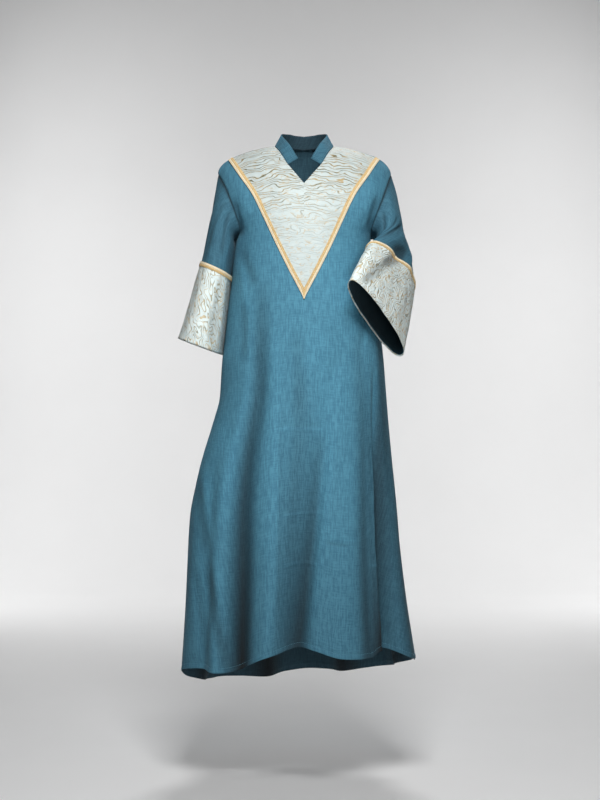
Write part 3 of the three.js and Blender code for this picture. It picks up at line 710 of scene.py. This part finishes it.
def yokeInner(line, at, edge, side):
    along = unit(np.gradient(line, axis=0))
    step = 0.004
    sideways = panelPoints(frontPanel, side * (edge + step), at) - line
    crossing = np.linalg.norm(np.cross(along, unit(sideways)), axis=-1)
    width = braidStyle["width"] / crossing * step / np.linalg.norm(sideways, axis=-1)
    return np.maximum(edge - width, 0)


print("shapes worked out")


# Meshes from grids.
def outerPoints(grid, out):
    return grid["points"] + grid["out"] * (out + grid["relief"])[..., None]


def meshFromGrids(name, grids, out):
    points, cloth, quads, corners, shades = [], [], [], [], []
    start = clothStart = 0
    for grid in grids:
        count, wide = grid["points"].shape[:2]
        spread = grid["cloth"].shape[1]
        columns = wide if grid.get("closed") else wide - 1
        i, j = (index.ravel() for index in np.indices((count - 1, columns)))
        k = (j + 1) % wide
        quad = np.stack([i * wide + j, i * wide + k, (i + 1) * wide + k, (i + 1) * wide + j], 1)
        corner = i * spread + j
        corner = np.stack([corner, corner + 1, corner + spread + 1, corner + spread], 1)
        if grid["flip"]:
            quad, corner = quad[:, ::-1], corner[:, ::-1]
        quads.append(quad + start)
        corners.append(corner + clothStart)
        points.append(outerPoints(grid, out).reshape(-1, 3))
        cloth.append(grid["cloth"].reshape(-1, 2))
        shades.append(grid.get("shade", np.ones((count, wide))).reshape(-1))
        start += count * wide
        clothStart += count * spread
    points, cloth = np.concatenate(points), np.concatenate(cloth)
    quads, corners = np.concatenate(quads), np.concatenate(corners)
    first, weld = np.unique(cellOf(points, 20), axis=0, return_index=True, return_inverse=True)[1:]
    quads = weld.reshape(-1)[quads]
    points = points[first]
    shade = np.concatenate(shades)[first]
    faces, uvs = [], []
    for quad, corner in zip(quads.tolist(), corners.tolist()):
        kept = [n for n in range(4) if quad[n] != quad[n - 1]]
        if len(kept) > 2 and len({quad[n] for n in kept}) == len(kept):
            faces.append([quad[n] for n in kept])
            uvs.extend(corner[n] for n in kept)
    mesh = bpy.data.meshes.new(name)
    mesh.from_pydata((points * mm).tolist(), [], faces)
    layer = mesh.uv_layers.new(name="threads")
    layer.uv.foreach_set("vector", (cloth[uvs] * mm).astype(np.float32).ravel())
    mesh.attributes.new("shade", "FLOAT", "POINT").data.foreach_set("value", shade.astype(np.float32))
    mesh.polygons.foreach_set("use_smooth", [True] * len(mesh.polygons))
    mesh.update()
    return mesh


# Layers of cloth: how far out the face lies and how thick the cloth is, in mm, and the slot of its material.
layers = {"teal": (2.0, 1.2, "teal_cloth"), "collar": (2.0, 1.8, "teal_cloth"),
          "brocade": (3.6, 1.0, "pale_brocade"), "braid": (4.9, 1.3, "gold_braid")}


def addObject(name, data):
    made = bpy.data.objects.new(name, data)
    bpy.context.collection.objects.link(made)
    return made


def clothPiece(name, grids, layer, material, node):
    out, thick, slot = layers[layer]
    mesh = meshFromGrids(name, grids, out)
    piece = addObject(name, mesh)
    solid = piece.modifiers.new("thickness", "SOLIDIFY")
    solid.thickness = thick * mm
    solid.offset = -1
    mesh.materials.append(material)
    # The inner faces of teal cloth take a darker copy of the teal: painted shade.
    if material is teal:
        mesh.materials.append(tealInsidePaintedShade)
        solid.material_offset = 1
    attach(piece, "root")
    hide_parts(node)
    area = sum(face.area for face in mesh.polygons)
    print("made", name, len(mesh.polygons), "faces,", round(area, 3), "m2")
    return piece


def setSocket(tree, socket, value):
    if isinstance(value, bpy.types.NodeSocket):
        tree.links.new(value, socket)
    else:
        socket.default_value = value


def addNode(tree, kind, inputs=(), **settings):
    made = tree.nodes.new(kind)
    for key, value in settings.items():
        setattr(made, key, value)
    for key, value in dict(inputs).items():
        setSocket(tree, made.inputs[key], value)
    return made


# Materials. Every cloth reads the metric thread coordinates.
class Tree:
    def __init__(self, name):
        self.material = bpy.data.materials.new(name)
        self.material.use_nodes = True
        self.tree = self.material.node_tree

    def node(self, kind, inputs=(), **settings):
        return addNode(self.tree, kind, inputs, **settings)

    def threads(self):
        return self.node("ShaderNodeUVMap", uv_map="threads").outputs["UV"]

    def objectPlace(self):
        return self.node("ShaderNodeTexCoord").outputs["Object"]

    def apart(self, vector):
        return self.node("ShaderNodeSeparateXYZ", {0: vector}).outputs

    # Painted shade: the colour darkened where the cloth lies deep in a fold or elsewhere in shade, and
    # lightened on the cuffs and the ridges of creases, by the shade attribute.
    def shaded(self, colour):
        shade = self.node("ShaderNodeAttribute", attribute_name="shade").outputs["Fac"]
        return self.mix(1.0, colour, shade, "MULTIPLY")

    def scaled(self, vector, scale, shift=(0, 0, 0)):
        inputs = {"Vector": vector, "Scale": scale, "Location": shift}
        return self.node("ShaderNodeMapping", inputs).outputs["Vector"]

    def noise(self, vector, scale=1.0, detail=2.0, rough=0.5, give="Fac"):
        inputs = {"Vector": vector, "Scale": scale, "Detail": detail, "Roughness": rough}
        return self.node("ShaderNodeTexNoise", inputs).outputs[give]

    def math(self, operation, a, b=0.5):
        return self.node("ShaderNodeMath", {0: a, 1: b}, operation=operation).outputs[0]

    def times(self, a, b):
        return self.math("MULTIPLY", a, b)

    def total(self, a, b, shareA=1.0, shareB=1.0):
        return self.math("ADD", self.times(a, shareA), self.times(b, shareB))

    def vector(self, operation, inputs):
        return self.node("ShaderNodeVectorMath", inputs, operation=operation).outputs[0]

    def remap(self, value, low, high, to0=0.0, to1=1.0):
        inputs = {"Value": value, "From Min": low, "From Max": high, "To Min": to0, "To Max": to1}
        return self.node("ShaderNodeMapRange", inputs).outputs["Result"]

    def mix(self, fac, a, b, blend="MIX"):
        made = self.node("ShaderNodeMix", data_type="RGBA", blend_type=blend)
        for socket, value in ((made.inputs[0], fac), (made.inputs[6], a), (made.inputs[7], b)):
            setSocket(self.tree, socket, (*value, 1) if isinstance(value, tuple) else value)
        return made.outputs[2]

    # bump is its strength and its depth in metres, sheen its weight and roughness.
    def surface(self, colour, height, bump, roughness, sheen=(0.0, 0.5)):
        normal = self.node("ShaderNodeBump", {"Height": height, "Strength": bump[0], "Distance": bump[1]})
        looks = {"Base Color": colour, "Normal": normal.outputs["Normal"], "Roughness": roughness,
                 "Sheen Weight": sheen[0], "Sheen Roughness": sheen[1]}
        for key, value in looks.items():
            setSocket(self.tree, self.tree.nodes["Principled BSDF"].inputs[key], value)
        return self.material


tealCloth = {"bright": (0.105, 0.345, 0.482), "dark": (0.046, 0.182, 0.283), "slubWidth": 0.004,
             "slubLength": 0.04, "slubAmount": 0.62, "paintedInsideShade": 0.3, "roughness": 0.82,
             "sheen": (0.06, 0.45), "sheenTint": (0.45, 0.75, 0.85, 1), "threadPitch": 0.0009,
             "bump": (0.5, 0.0007)}


# Slubs are thick places in the threads: long streaks both ways, under a fine weave.
def tealMaterial(name, share=1.0):
    t = Tree(name)
    at = t.threads()
    across, along = 1 / tealCloth["slubWidth"], 1 / tealCloth["slubLength"]
    warpSlubs = t.noise(t.scaled(at, (across, along, 1)), rough=0.6)
    weftSlubs = t.noise(t.scaled(at, (along, across, 1), (3, 7, 0)), rough=0.6)
    fineWarp = t.noise(t.scaled(at, (across * 2.3, along * 2, 1), (1, 4, 0)))
    fineWeft = t.noise(t.scaled(at, (along * 2, across * 2.3, 1), (1, 5, 0)))
    patches = t.noise(t.scaled(at, (6, 3, 1)), detail=3)
    fine = t.total(fineWarp, fineWeft, 0.55, 0.45)
    both = t.total(t.total(warpSlubs, weftSlubs, 0.72, 0.28), fine, 0.52, 0.48)
    amount = tealCloth["slubAmount"]
    tone = t.total(t.remap(both, 0.44, 0.56), patches, amount, 1 - amount)
    # A share below 1 makes a darker copy of the cloth for its inner side: painted shade.
    dark, bright = (tuple(share * value for value in tealCloth[key]) for key in ("dark", "bright"))
    pitch = 2 * math.pi / tealCloth["threadPitch"]
    warp, weft = (t.math("SINE", t.times(t.apart(at)[axis], pitch)) for axis in (0, 1))
    height = t.total(t.times(warp, weft), both, 0.25, 1.6)
    rough = tealCloth["roughness"]
    made = t.surface(t.shaded(t.mix(tone, dark, bright)), height, tealCloth["bump"],
                     t.remap(fine, 0.3, 0.7, rough + 0.08, rough - 0.08), tealCloth["sheen"])
    t.tree.nodes["Principled BSDF"].inputs["Sheen Tint"].default_value = tealCloth["sheenTint"]
    return made


brocadeCloth = {"ground": (0.82, 0.92, 0.905), "shade": (0.68, 0.78, 0.77), "gold": (0.56, 0.41, 0.19),
                "olive": (0.22, 0.2, 0.1), "beige": (0.76, 0.6, 0.38), "lineShare": 0.17, "fineShare": 0.2,
                "fineLines": 6.0, "softShare": 0.6, "bump": (0.55, 0.0016), "sheen": (0.1, 0.4)}

# Woven lines lie "apart" from each other, across the cloth (axis 0) or up it (1). They sway by so many lines
# in bends this wide and tall, "runs" breaks them off, and between two heights their strength changes.
yokeLines = {"axis": 1, "apart": 0.0078, "sway": 4.5, "bends": (0.045, 0.022), "wander": 0.0055,
             "runs": (24, 60, 1), "heights": (1.03, 1.2), "strengths": (0.05, 1.05), "puckers": 0.7}
cuffLines = {"axis": 0, "apart": 0.013, "sway": 9.0, "bends": (0.024, 0.04), "wander": 0.01,
             "runs": (44, 34, 1), "heights": (-1.0, 1.0), "strengths": (0.8, 0.8), "puckers": 0.6}


def brocadeMaterial(name, style):
    t = Tree(name)
    at = t.threads()
    push = t.noise(t.scaled(at, (45, 45, 1)), detail=3.0, give="Color")
    push = t.vector("SUBTRACT", {0: push, 1: (0.5, 0.5, 0.5)})
    moved = t.vector("ADD", {0: at, 1: t.vector("SCALE", {0: push, "Scale": style["wander"]})})

    def lines(field, share):
        away = t.math("ABSOLUTE", t.math("SUBTRACT", t.math("FRACT", field), 0.5))
        return t.remap(away, share * 0.4, share, 1, 0)

    def patches(scale, shift, start, end):
        return t.remap(t.noise(t.scaled(at, scale, shift)), start, end)

    wide, tall = (1 / length for length in style["bends"])
    bends = t.noise(t.scaled(moved, (wide, tall, 1)), detail=1.0)
    fineBends = t.noise(t.scaled(moved, (wide * 1.6, tall * 1.3, 1), (11, 4, 0)), detail=1.0)
    field = t.total(t.apart(moved)[style["axis"]], bends, 1 / style["apart"], style["sway"])
    strong = t.times(lines(field, brocadeCloth["lineShare"]), patches(style["runs"], (5, 2, 0), 0.32, 0.46))
    soft = t.times(lines(t.times(fineBends, brocadeCloth["fineLines"]), brocadeCloth["fineShare"]),
                   patches((70, 80, 1), (9, 1, 0), 0.46, 0.6))
    amount = t.remap(t.apart(at)[1], *style["heights"], *style["strengths"])
    ink = t.mix(patches((34, 40, 1), (2, 8, 0), 0.42, 0.6), brocadeCloth["gold"], brocadeCloth["olive"])
    base = t.mix(t.noise(t.scaled(at, (40, 55, 1)), detail=4), brocadeCloth["shade"], brocadeCloth["ground"])
    colour = t.mix(t.times(soft, brocadeCloth["softShare"]), base, brocadeCloth["beige"])
    colour = t.mix(t.times(strong, amount), colour, ink)
    waves = t.times(t.math("SINE", t.times(field, 2 * math.pi)), t.times(amount, style["puckers"]))
    puff = t.total(t.total(waves, strong, 1.0, -0.9), t.noise(t.scaled(at, (300, 340, 1))))
    return t.surface(t.shaded(colour), puff, brocadeCloth["bump"], t.remap(strong, 0, 1, 0.74, 0.45),
                     brocadeCloth["sheen"])


braidCloth = {"tan": (0.76, 0.53, 0.24), "cream": (0.93, 0.82, 0.58), "ground": (0.54, 0.36, 0.14),
              "worn": (0.9, 0.8, 0.6), "ribLength": 0.0026, "ribSlant": 1.1, "bump": (0.6, 0.0006)}


# Cream towards the teal cloth and tan towards the brocade; creamSide is -1 or 1 across the braid.
def braidMaterial(name, creamSide):
    t = Tree(name)
    at = t.threads()
    apart = t.apart(at)
    side = t.remap(t.times(apart[0], creamSide / (braidStyle["width"] * mm)), -0.04, 0.04)
    slant = t.total(apart[1], t.math("ABSOLUTE", apart[0]), 1.0, braidCloth["ribSlant"])
    ribs = t.math("SINE", t.times(slant, 2 * math.pi / braidCloth["ribLength"]))
    uneven = t.noise(t.scaled(at, (260, 260, 1)), detail=3)
    colour = t.mix(side, braidCloth["tan"], braidCloth["cream"])
    colour = t.mix(t.remap(ribs, -1, 1, 0.0, 0.5), colour, braidCloth["ground"])
    colour = t.mix(t.times(uneven, 0.25), colour, braidCloth["worn"])
    return t.surface(colour, t.total(ribs, uneven), braidCloth["bump"], t.remap(uneven, 0.3, 0.7, 0.42, 0.6))


teal = tealMaterial("teal_cloth")
# The inner side of the cloth gets a darker copy of the teal: painted shade.
tealInsidePaintedShade = tealMaterial("teal_cloth_inside_painted_shade", tealCloth["paintedInsideShade"])    # the side that lies in shade
yokeBrocade = brocadeMaterial("yoke_brocade", yokeLines)
cuffBrocade = brocadeMaterial("cuff_brocade", cuffLines)
yokeGold = braidMaterial("yoke_braid_gold", 1)
cuffGold = braidMaterial("cuff_braid_gold", -1)
print("materials made")

# Thread materials read Object coordinates, since the stitches have no threads of their own.
threadColours = {"teal_thread": ((0.05, 0.19, 0.28), (0.12, 0.36, 0.47)),
                 "gold_thread": ((0.64, 0.43, 0.17), (0.90, 0.68, 0.36)),
                 "cream_thread": ((0.84, 0.70, 0.46), (0.97, 0.88, 0.68)),
                 "pale_thread": ((0.58, 0.66, 0.64), (0.80, 0.86, 0.83))}


def threadMaterial(name, dark, bright):
    t = Tree(name)
    at = t.objectPlace()
    tone = t.remap(t.noise(at, 420, detail=3), 0.35, 0.65)
    return t.surface(t.mix(tone, dark, bright), t.noise(at, 2600), (0.4, 0.0003),
                     t.remap(tone, 0, 1, 0.6, 0.42), (0.1, 0.5))


threadOf = {name: threadMaterial(name, *colours) for name, colours in threadColours.items()}


# Stitches, braid ribs and edge cords: one small rounded shape set along a path, flat on the cloth.
stitchShape = {"segments": 8, "rings": 4, "wobble": 0.12}
stitchSockets = {"Paths": "Geometry", "Spacing": "Float", "Length": "Float", "Width": "Float",
                 "Height": "Float", "Lift": "Float", "Slant": "Float", "Uneven": "Float", "Seed": "Int",
                 "Thread": "Material"}


def stitchTree():
    tree = bpy.data.node_groups.new("stitches_along_paths", "GeometryNodeTree")
    for name, kind in stitchSockets.items():
        tree.interface.new_socket(name, in_out="INPUT", socket_type="NodeSocket" + kind)
    tree.interface.new_socket("Stitches", in_out="OUTPUT", socket_type="NodeSocketGeometry")
    given = tree.nodes.new("NodeGroupInput").outputs

    def node(kind, inputs=(), **settings):
        return addNode(tree, kind, inputs, **settings)

    def randomBetween(low, high):
        inputs = {2: low, 3: high, "Seed": given["Seed"]}
        return node("FunctionNodeRandomValue", inputs, data_type="FLOAT").outputs[1]

    def calculate(operation, a, b):
        return node("ShaderNodeMath", {0: a, 1: b}, operation=operation).outputs[0]

    line = node("GeometryNodeMeshToCurve", {"Mesh": given["Paths"]}).outputs[0]
    line = node("GeometryNodeResampleCurve", {"Curve": line, "Length": given["Spacing"]},
                mode="LENGTH").outputs[0]
    up = node("GeometryNodeInputNamedAttribute", {"Name": "up"}, data_type="FLOAT_VECTOR").outputs[0]
    lift = node("ShaderNodeVectorMath", {0: up, "Scale": given["Lift"]}, operation="SCALE").outputs[0]
    line = node("GeometryNodeSetPosition", {"Geometry": line, "Offset": lift}).outputs[0]
    along = node("GeometryNodeInputTangent").outputs[0]
    turn = node("FunctionNodeAxesToRotation", {"Primary Axis": up, "Secondary Axis": along},
                primary_axis="Z", secondary_axis="X").outputs[0]
    wobble = randomBetween(-stitchShape["wobble"], stitchShape["wobble"])
    slant = calculate("ADD", given["Slant"], wobble)
    slant = node("FunctionNodeAxisAngleToRotation", {"Axis": (0, 0, 1), "Angle": slant}).outputs[0]
    turn = node("FunctionNodeRotateRotation", {"Rotation": turn, "Rotate By": slant},
                rotation_space="LOCAL").outputs[0]
    size = {0: given["Length"], 1: given["Width"], 2: given["Height"]}
    size = node("ShaderNodeCombineXYZ", size).outputs[0]
    ball = {"Segments": stitchShape["segments"], "Rings": stitchShape["rings"], "Radius": 0.5}
    shape = node("GeometryNodeMeshUVSphere", ball).outputs["Mesh"]
    shape = node("GeometryNodeTransform", {"Geometry": shape, "Scale": size}).outputs[0]
    grow = randomBetween(*(calculate(way, 1.0, given["Uneven"]) for way in ("SUBTRACT", "ADD")))
    made = node("GeometryNodeInstanceOnPoints", {"Points": line, "Instance": shape, "Rotation": turn,
                                                 "Scale": grow}).outputs[0]
    made = node("GeometryNodeRealizeInstances", {"Geometry": made}).outputs[0]
    made = node("GeometryNodeSetShadeSmooth", {"Geometry": made}).outputs[0]
    made = node("GeometryNodeSetMaterial", {"Geometry": made, "Material": given["Thread"]}).outputs[0]
    tree.links.new(made, tree.nodes.new("NodeGroupOutput").inputs[0])
    return tree


stitches = stitchTree()
stitchInputs = {item.name: item.identifier for item in stitches.interface.items_tree
                if item.in_out == "INPUT"}


def closeLoop(line, ups):
    return np.concatenate([line, line[:1]]), np.concatenate([ups, ups[:1]])


def pathAlong(grid, layer, row=None, column=None, between=(0, None)):
    chosen = (row, slice(*between)) if column is None else (slice(*between), column)
    path = outerPoints(grid, layers[layer][0])[chosen], grid["out"][chosen]
    return closeLoop(*path) if grid.get("closed") and column is None else path


# The line between two columns of a grid, or two rows of a closed one, at a share of the way across it.
def pathAcross(grid, layer, share, closed):
    points, out = outerPoints(grid, layers[layer][0]), grid["out"]
    if not closed:
        points, out = points.swapaxes(0, 1), out.swapaxes(0, 1)
    at = share * (len(points) - 1)
    low = min(int(at), len(points) - 2)
    path = points[low] + (points[low + 1] - points[low]) * (at - low), out[low]
    return closeLoop(*path) if closed else path


def stitchRow(name, paths, style):
    points = np.concatenate([line for line, up in paths])
    ups = np.concatenate([unit(up) for line, up in paths])
    edges, start = [], 0
    for line, up in paths:
        edges += [(start + n, start + n + 1) for n in range(len(line) - 1)]
        start += len(line)
    mesh = bpy.data.meshes.new(name)
    mesh.from_pydata((points * mm).tolist(), edges, [])
    attribute = mesh.attributes.new("up", "FLOAT_VECTOR", "POINT")
    attribute.data.foreach_set("vector", ups.astype(np.float32).ravel())
    piece = addObject(name, mesh)
    maker = piece.modifiers.new("stitches", "NODES")
    maker.node_group = stitches
    for key, value in style.items():
        maker[stitchInputs[key]] = threadOf[value] if key == "Thread" else value
    made = bpy.data.meshes.new_from_object(piece.evaluated_get(bpy.context.evaluated_depsgraph_get()))
    piece.modifiers.clear()
    piece.data = made
    made.name = name
    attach(piece, "root")
    print("made", name, len(made.polygons), "faces")
    return piece


# The pieces.
front = [bodyGrid(frontPanel, side) for side in (-1, 1)]
back = [bodyGrid(backPanel, side) for side in (-1, 1)]
collar = [collarGrid()]
sleevePlaces = np.concatenate([[0, 0.006, 0.013], np.linspace(0.025, sleeveShape["clothEnd"], 74)])
sleeves = {name: [sleeveGrid(arm, sleevePlaces)] for name, arm in arms.items()}
joinSheets([front, back, collar, *sleeves.values()])
# Painted shade: sleeves darker than the body and darker still along the armhole seam; painted light on the
# cuffs.
sleeveShade = {"cloth": 0.56, "seam": 0.85, "seamWidth": 7, "cuff": 1.15, "cuffMost": 1.08}
for name, arm in arms.items():
    seam = 1 - sleeveShade["seam"] * bell(sleevePlaces * arm["length"], sleeveShade["seamWidth"])
    sleeves[name][0]["shade"] *= sleeveShade["cloth"] * seam[:, None]

frontPiece = clothPiece("front_panel", front, "teal", teal, "front")
backPiece = clothPiece("back_panel", back, "teal", teal, "back")
collarPiece = clothPiece("stand_collar", collar, "collar", teal, "collar")
yoke = [yokeGrid(side) for side in (-1, 1)]
yokePiece = clothPiece("yoke_brocade", yoke, "brocade", yokeBrocade, "yoke")
yokeBraid = [yokeBraidGrid(side) for side in (-1, 1)]
yokeBraidPiece = clothPiece("yoke_braid_strip", yokeBraid, "braid", yokeGold, "yoke_braid")

# Sizes in metres. The paths lie on the cloth, and Lift raises each stitch off them.
topStitch = {"Spacing": 0.0042, "Length": 0.0031, "Width": 0.00075, "Height": 0.0007, "Lift": 0.0001,
             "Slant": 0.0, "Uneven": 0.08, "Seed": 4, "Thread": "teal_thread"}
paleStitch = {**topStitch, "Thread": "pale_thread", "Seed": 6}
braidRib = {"Spacing": 0.0023, "Length": 0.0056, "Width": 0.0021, "Height": 0.0013, "Lift": 0.0001,
            "Slant": 0.75, "Uneven": 0.07, "Seed": 9}
edgeCord = {"Spacing": 0.0019, "Length": 0.0026, "Width": 0.0016, "Height": 0.0015, "Lift": 0.0001,
            "Slant": 0.5, "Uneven": 0.06, "Seed": 12}
braidShares = {"ribs": (0.3, 0.7), "cords": (0.06, 0.94)}
hemRow = int(np.argmin(np.abs(rows - meshing["hemStitches"])))
frontHemStitches = stitchRow("front_hem_stitches", [pathAlong(grid, "teal", row=hemRow) for grid in front],
                             topStitch)
backHemStitches = stitchRow("back_hem_stitches", [pathAlong(grid, "teal", row=hemRow) for grid in back],
                            topStitch)
collarEdges = ({"row": collarStyle["rows"] - 2}, {"row": 1}, {"column": 1}, {"column": -2})
collarStitches = stitchRow("collar_stitches", [
    pathAlong(collar[0], "collar", between=(1, -1), **edge) for edge in collarEdges], topStitch)
slitRows = [int(np.sum(yokeRows() < rowOf[name])) for name in ("slit", "collarEnd")]
slitStitches = stitchRow("slit_stitches", [
    pathAlong(grid, "brocade", column=1, between=slitRows) for grid in yoke], paleStitch)


# Ribs and cords in two rows each, slanting towards each other: cream outside and gold towards the brocade.
def braidPieces(name, grids, closed):
    made = []
    for kind, style in (("ribs", braidRib), ("cords", edgeCord)):
        for number, share in enumerate(braidShares[kind]):
            thread = "cream_thread" if (number == 0) == closed else "gold_thread"
            for part in reversed(range(len(grids))):
                slant = style["Slant"] * (1 if number else -1) * (-1 if part else 1)
                ending = "_left" if part else ""
                made.append(stitchRow(f"{name}_{kind}_{number + 1}{ending}",
                                      [pathAcross(grids[part], "braid", share, closed)],
                                      {**style, "Slant": slant, "Thread": thread}))
    return made


yokeBraidTrim = braidPieces("yoke_braid", yokeBraid, False)

for name, arm in arms.items():
    sleeve = clothPiece("sleeve_cloth_" + name, sleeves[name], "teal", teal, "sleeve_" + name)
    cuffPlaces = np.linspace(sleeveShape["cuffStart"], 1, sleeveShape["cuffRows"])
    cuff = sleeveGrid(arm, cuffPlaces, sleeveShape["hemRoll"])
    cuff["out"] = cuff["normals"]
    # Painted light: the cuffs lightened, up to a little above their own colour.
    cuff["shade"] = np.minimum(cuff["shade"] * sleeveShade["cuff"], sleeveShade["cuffMost"])
    cuffPiece = clothPiece("cuff_brocade_" + name, [cuff], "brocade", cuffBrocade, "cuff_" + name)
    hemStitches = stitchRow("cuff_hem_stitches_" + name, [pathAlong(cuff, "brocade", row=-3)], paleStitch)
    stripPlaces = np.linspace(sleeveShape["cuffStart"], sleeveShape["braidEnd"], braidStyle["columns"])
    strip = sleeveGrid(arm, stripPlaces)
    strip["out"] = strip["normals"]
    t = np.linspace(-0.5, 0.5, braidStyle["columns"])[:, None]
    strip["relief"] += braidStyle["roundness"] * np.cos(t * math.pi)
    strip["cloth"] = np.stack(np.broadcast_arrays(t * braidStyle["width"], strip["cloth"][..., 0]), -1)
    stripPiece = clothPiece("cuff_braid_strip_" + name, [strip], "braid", cuffGold, "cuff_braid_" + name)
    stripTrim = braidPieces("cuff_braid_" + name, [strip], True)
print("pieces made")

# Studio: a pale floor that sweeps up behind, with soft light from the front, above and behind.
studio = {"floor": -1.62, "near": -4.6, "depth": 4.7, "radius": 1.2, "height": 4.5, "width": 4.4,
          "pale": (0.86, 0.86, 0.86), "paler": (0.89, 0.89, 0.89), "sweepSteps": 12}


def sweepMesh():
    far, floor, radius = studio["depth"], studio["floor"], studio["radius"]
    profile = [(studio["near"], floor), (far - radius, floor)]
    for step in range(1, studio["sweepSteps"] + 1):
        turn = math.pi / 2 * step / studio["sweepSteps"]
        profile.append((far - radius + radius * math.sin(turn), floor + radius * (1 - math.cos(turn))))
    profile.append((far, floor + studio["height"]))
    half = studio["width"] / 2
    points = [(x, y, z) for y, z in profile for x in (-half, half)]
    faces = [(2 * n, 2 * n + 1, 2 * n + 3, 2 * n + 2) for n in range(len(profile) - 1)]
    mesh = bpy.data.meshes.new("studio_floor")
    mesh.from_pydata(points, [], faces)
    mesh.polygons.foreach_set("use_smooth", [True] * len(faces))
    return mesh


floor = addObject("studio_floor", sweepMesh())
paper = Tree("studio_paper")
paperColour = paper.mix(paper.noise(paper.objectPlace(), 3, 2), studio["pale"], studio["paler"])
paperShader = paper.tree.nodes["Principled BSDF"]
setSocket(paper.tree, paperShader.inputs["Base Color"], paperColour)
paperShader.inputs["Roughness"].default_value = 0.9
floor.data.materials.append(paper.material)


def softLight(name, place, target, size, watts):
    light = bpy.data.lights.new(name, "AREA")
    light.shape = "RECTANGLE"
    light.size, light.size_y = size
    light.energy = watts
    lamp = addObject(name, light)
    lamp.location = place
    x, y, z = (t - p for t, p in zip(target, place))
    lamp.rotation_euler = (math.pi / 2 + math.atan2(z, math.hypot(x, y)), 0, math.atan2(-x, y))


softLight("key_light", (0.1, -1.85, 0.9), (0, 0, -0.45), (0.8, 0.6), 50)
softLight("fill_light", (0.3, -3.4, -0.6), (0, 0, -0.6), (0.6, 0.6), 8)
softLight("rear_light", (0.4, 2.4, 2.3), (0, 0, -0.7), (1.4, 1.0), 60)
softLight("back_light_right", (-2.0, 3.1, 0.2), (0.4, 4.7, -0.6), (0.8, 2.6), 29)
softLight("back_light_left", (2.0, 3.1, 0.2), (-0.4, 4.7, -0.6), (0.8, 2.6), 29)
world = bpy.data.worlds.new("studio_world")
bpy.context.scene.world = world
bpy.context.scene.view_settings.view_transform = "Standard"
world.use_nodes = True
sky = world.node_tree.nodes["Background"].inputs
sky["Color"].default_value = (0.95, 0.97, 1.0, 1)
sky["Strength"].default_value = 0.03

cameraSetup = {"place": (-0.010, -3.766, -0.648), "focalPixels": 1471, "imageHeight": 800, "sensor": 36.0}
camera = bpy.data.cameras.new("camera")
camera.sensor_fit = "VERTICAL"
camera.sensor_height = cameraSetup["sensor"]
camera.lens = cameraSetup["focalPixels"] / cameraSetup["imageHeight"] * cameraSetup["sensor"]
camera.dof.use_dof = False
viewer = addObject("camera", camera)
viewer.location = cameraSetup["place"]
viewer.rotation_euler = (math.pi / 2, 0, 0)
bpy.context.scene.camera = viewer

print("scene ready")
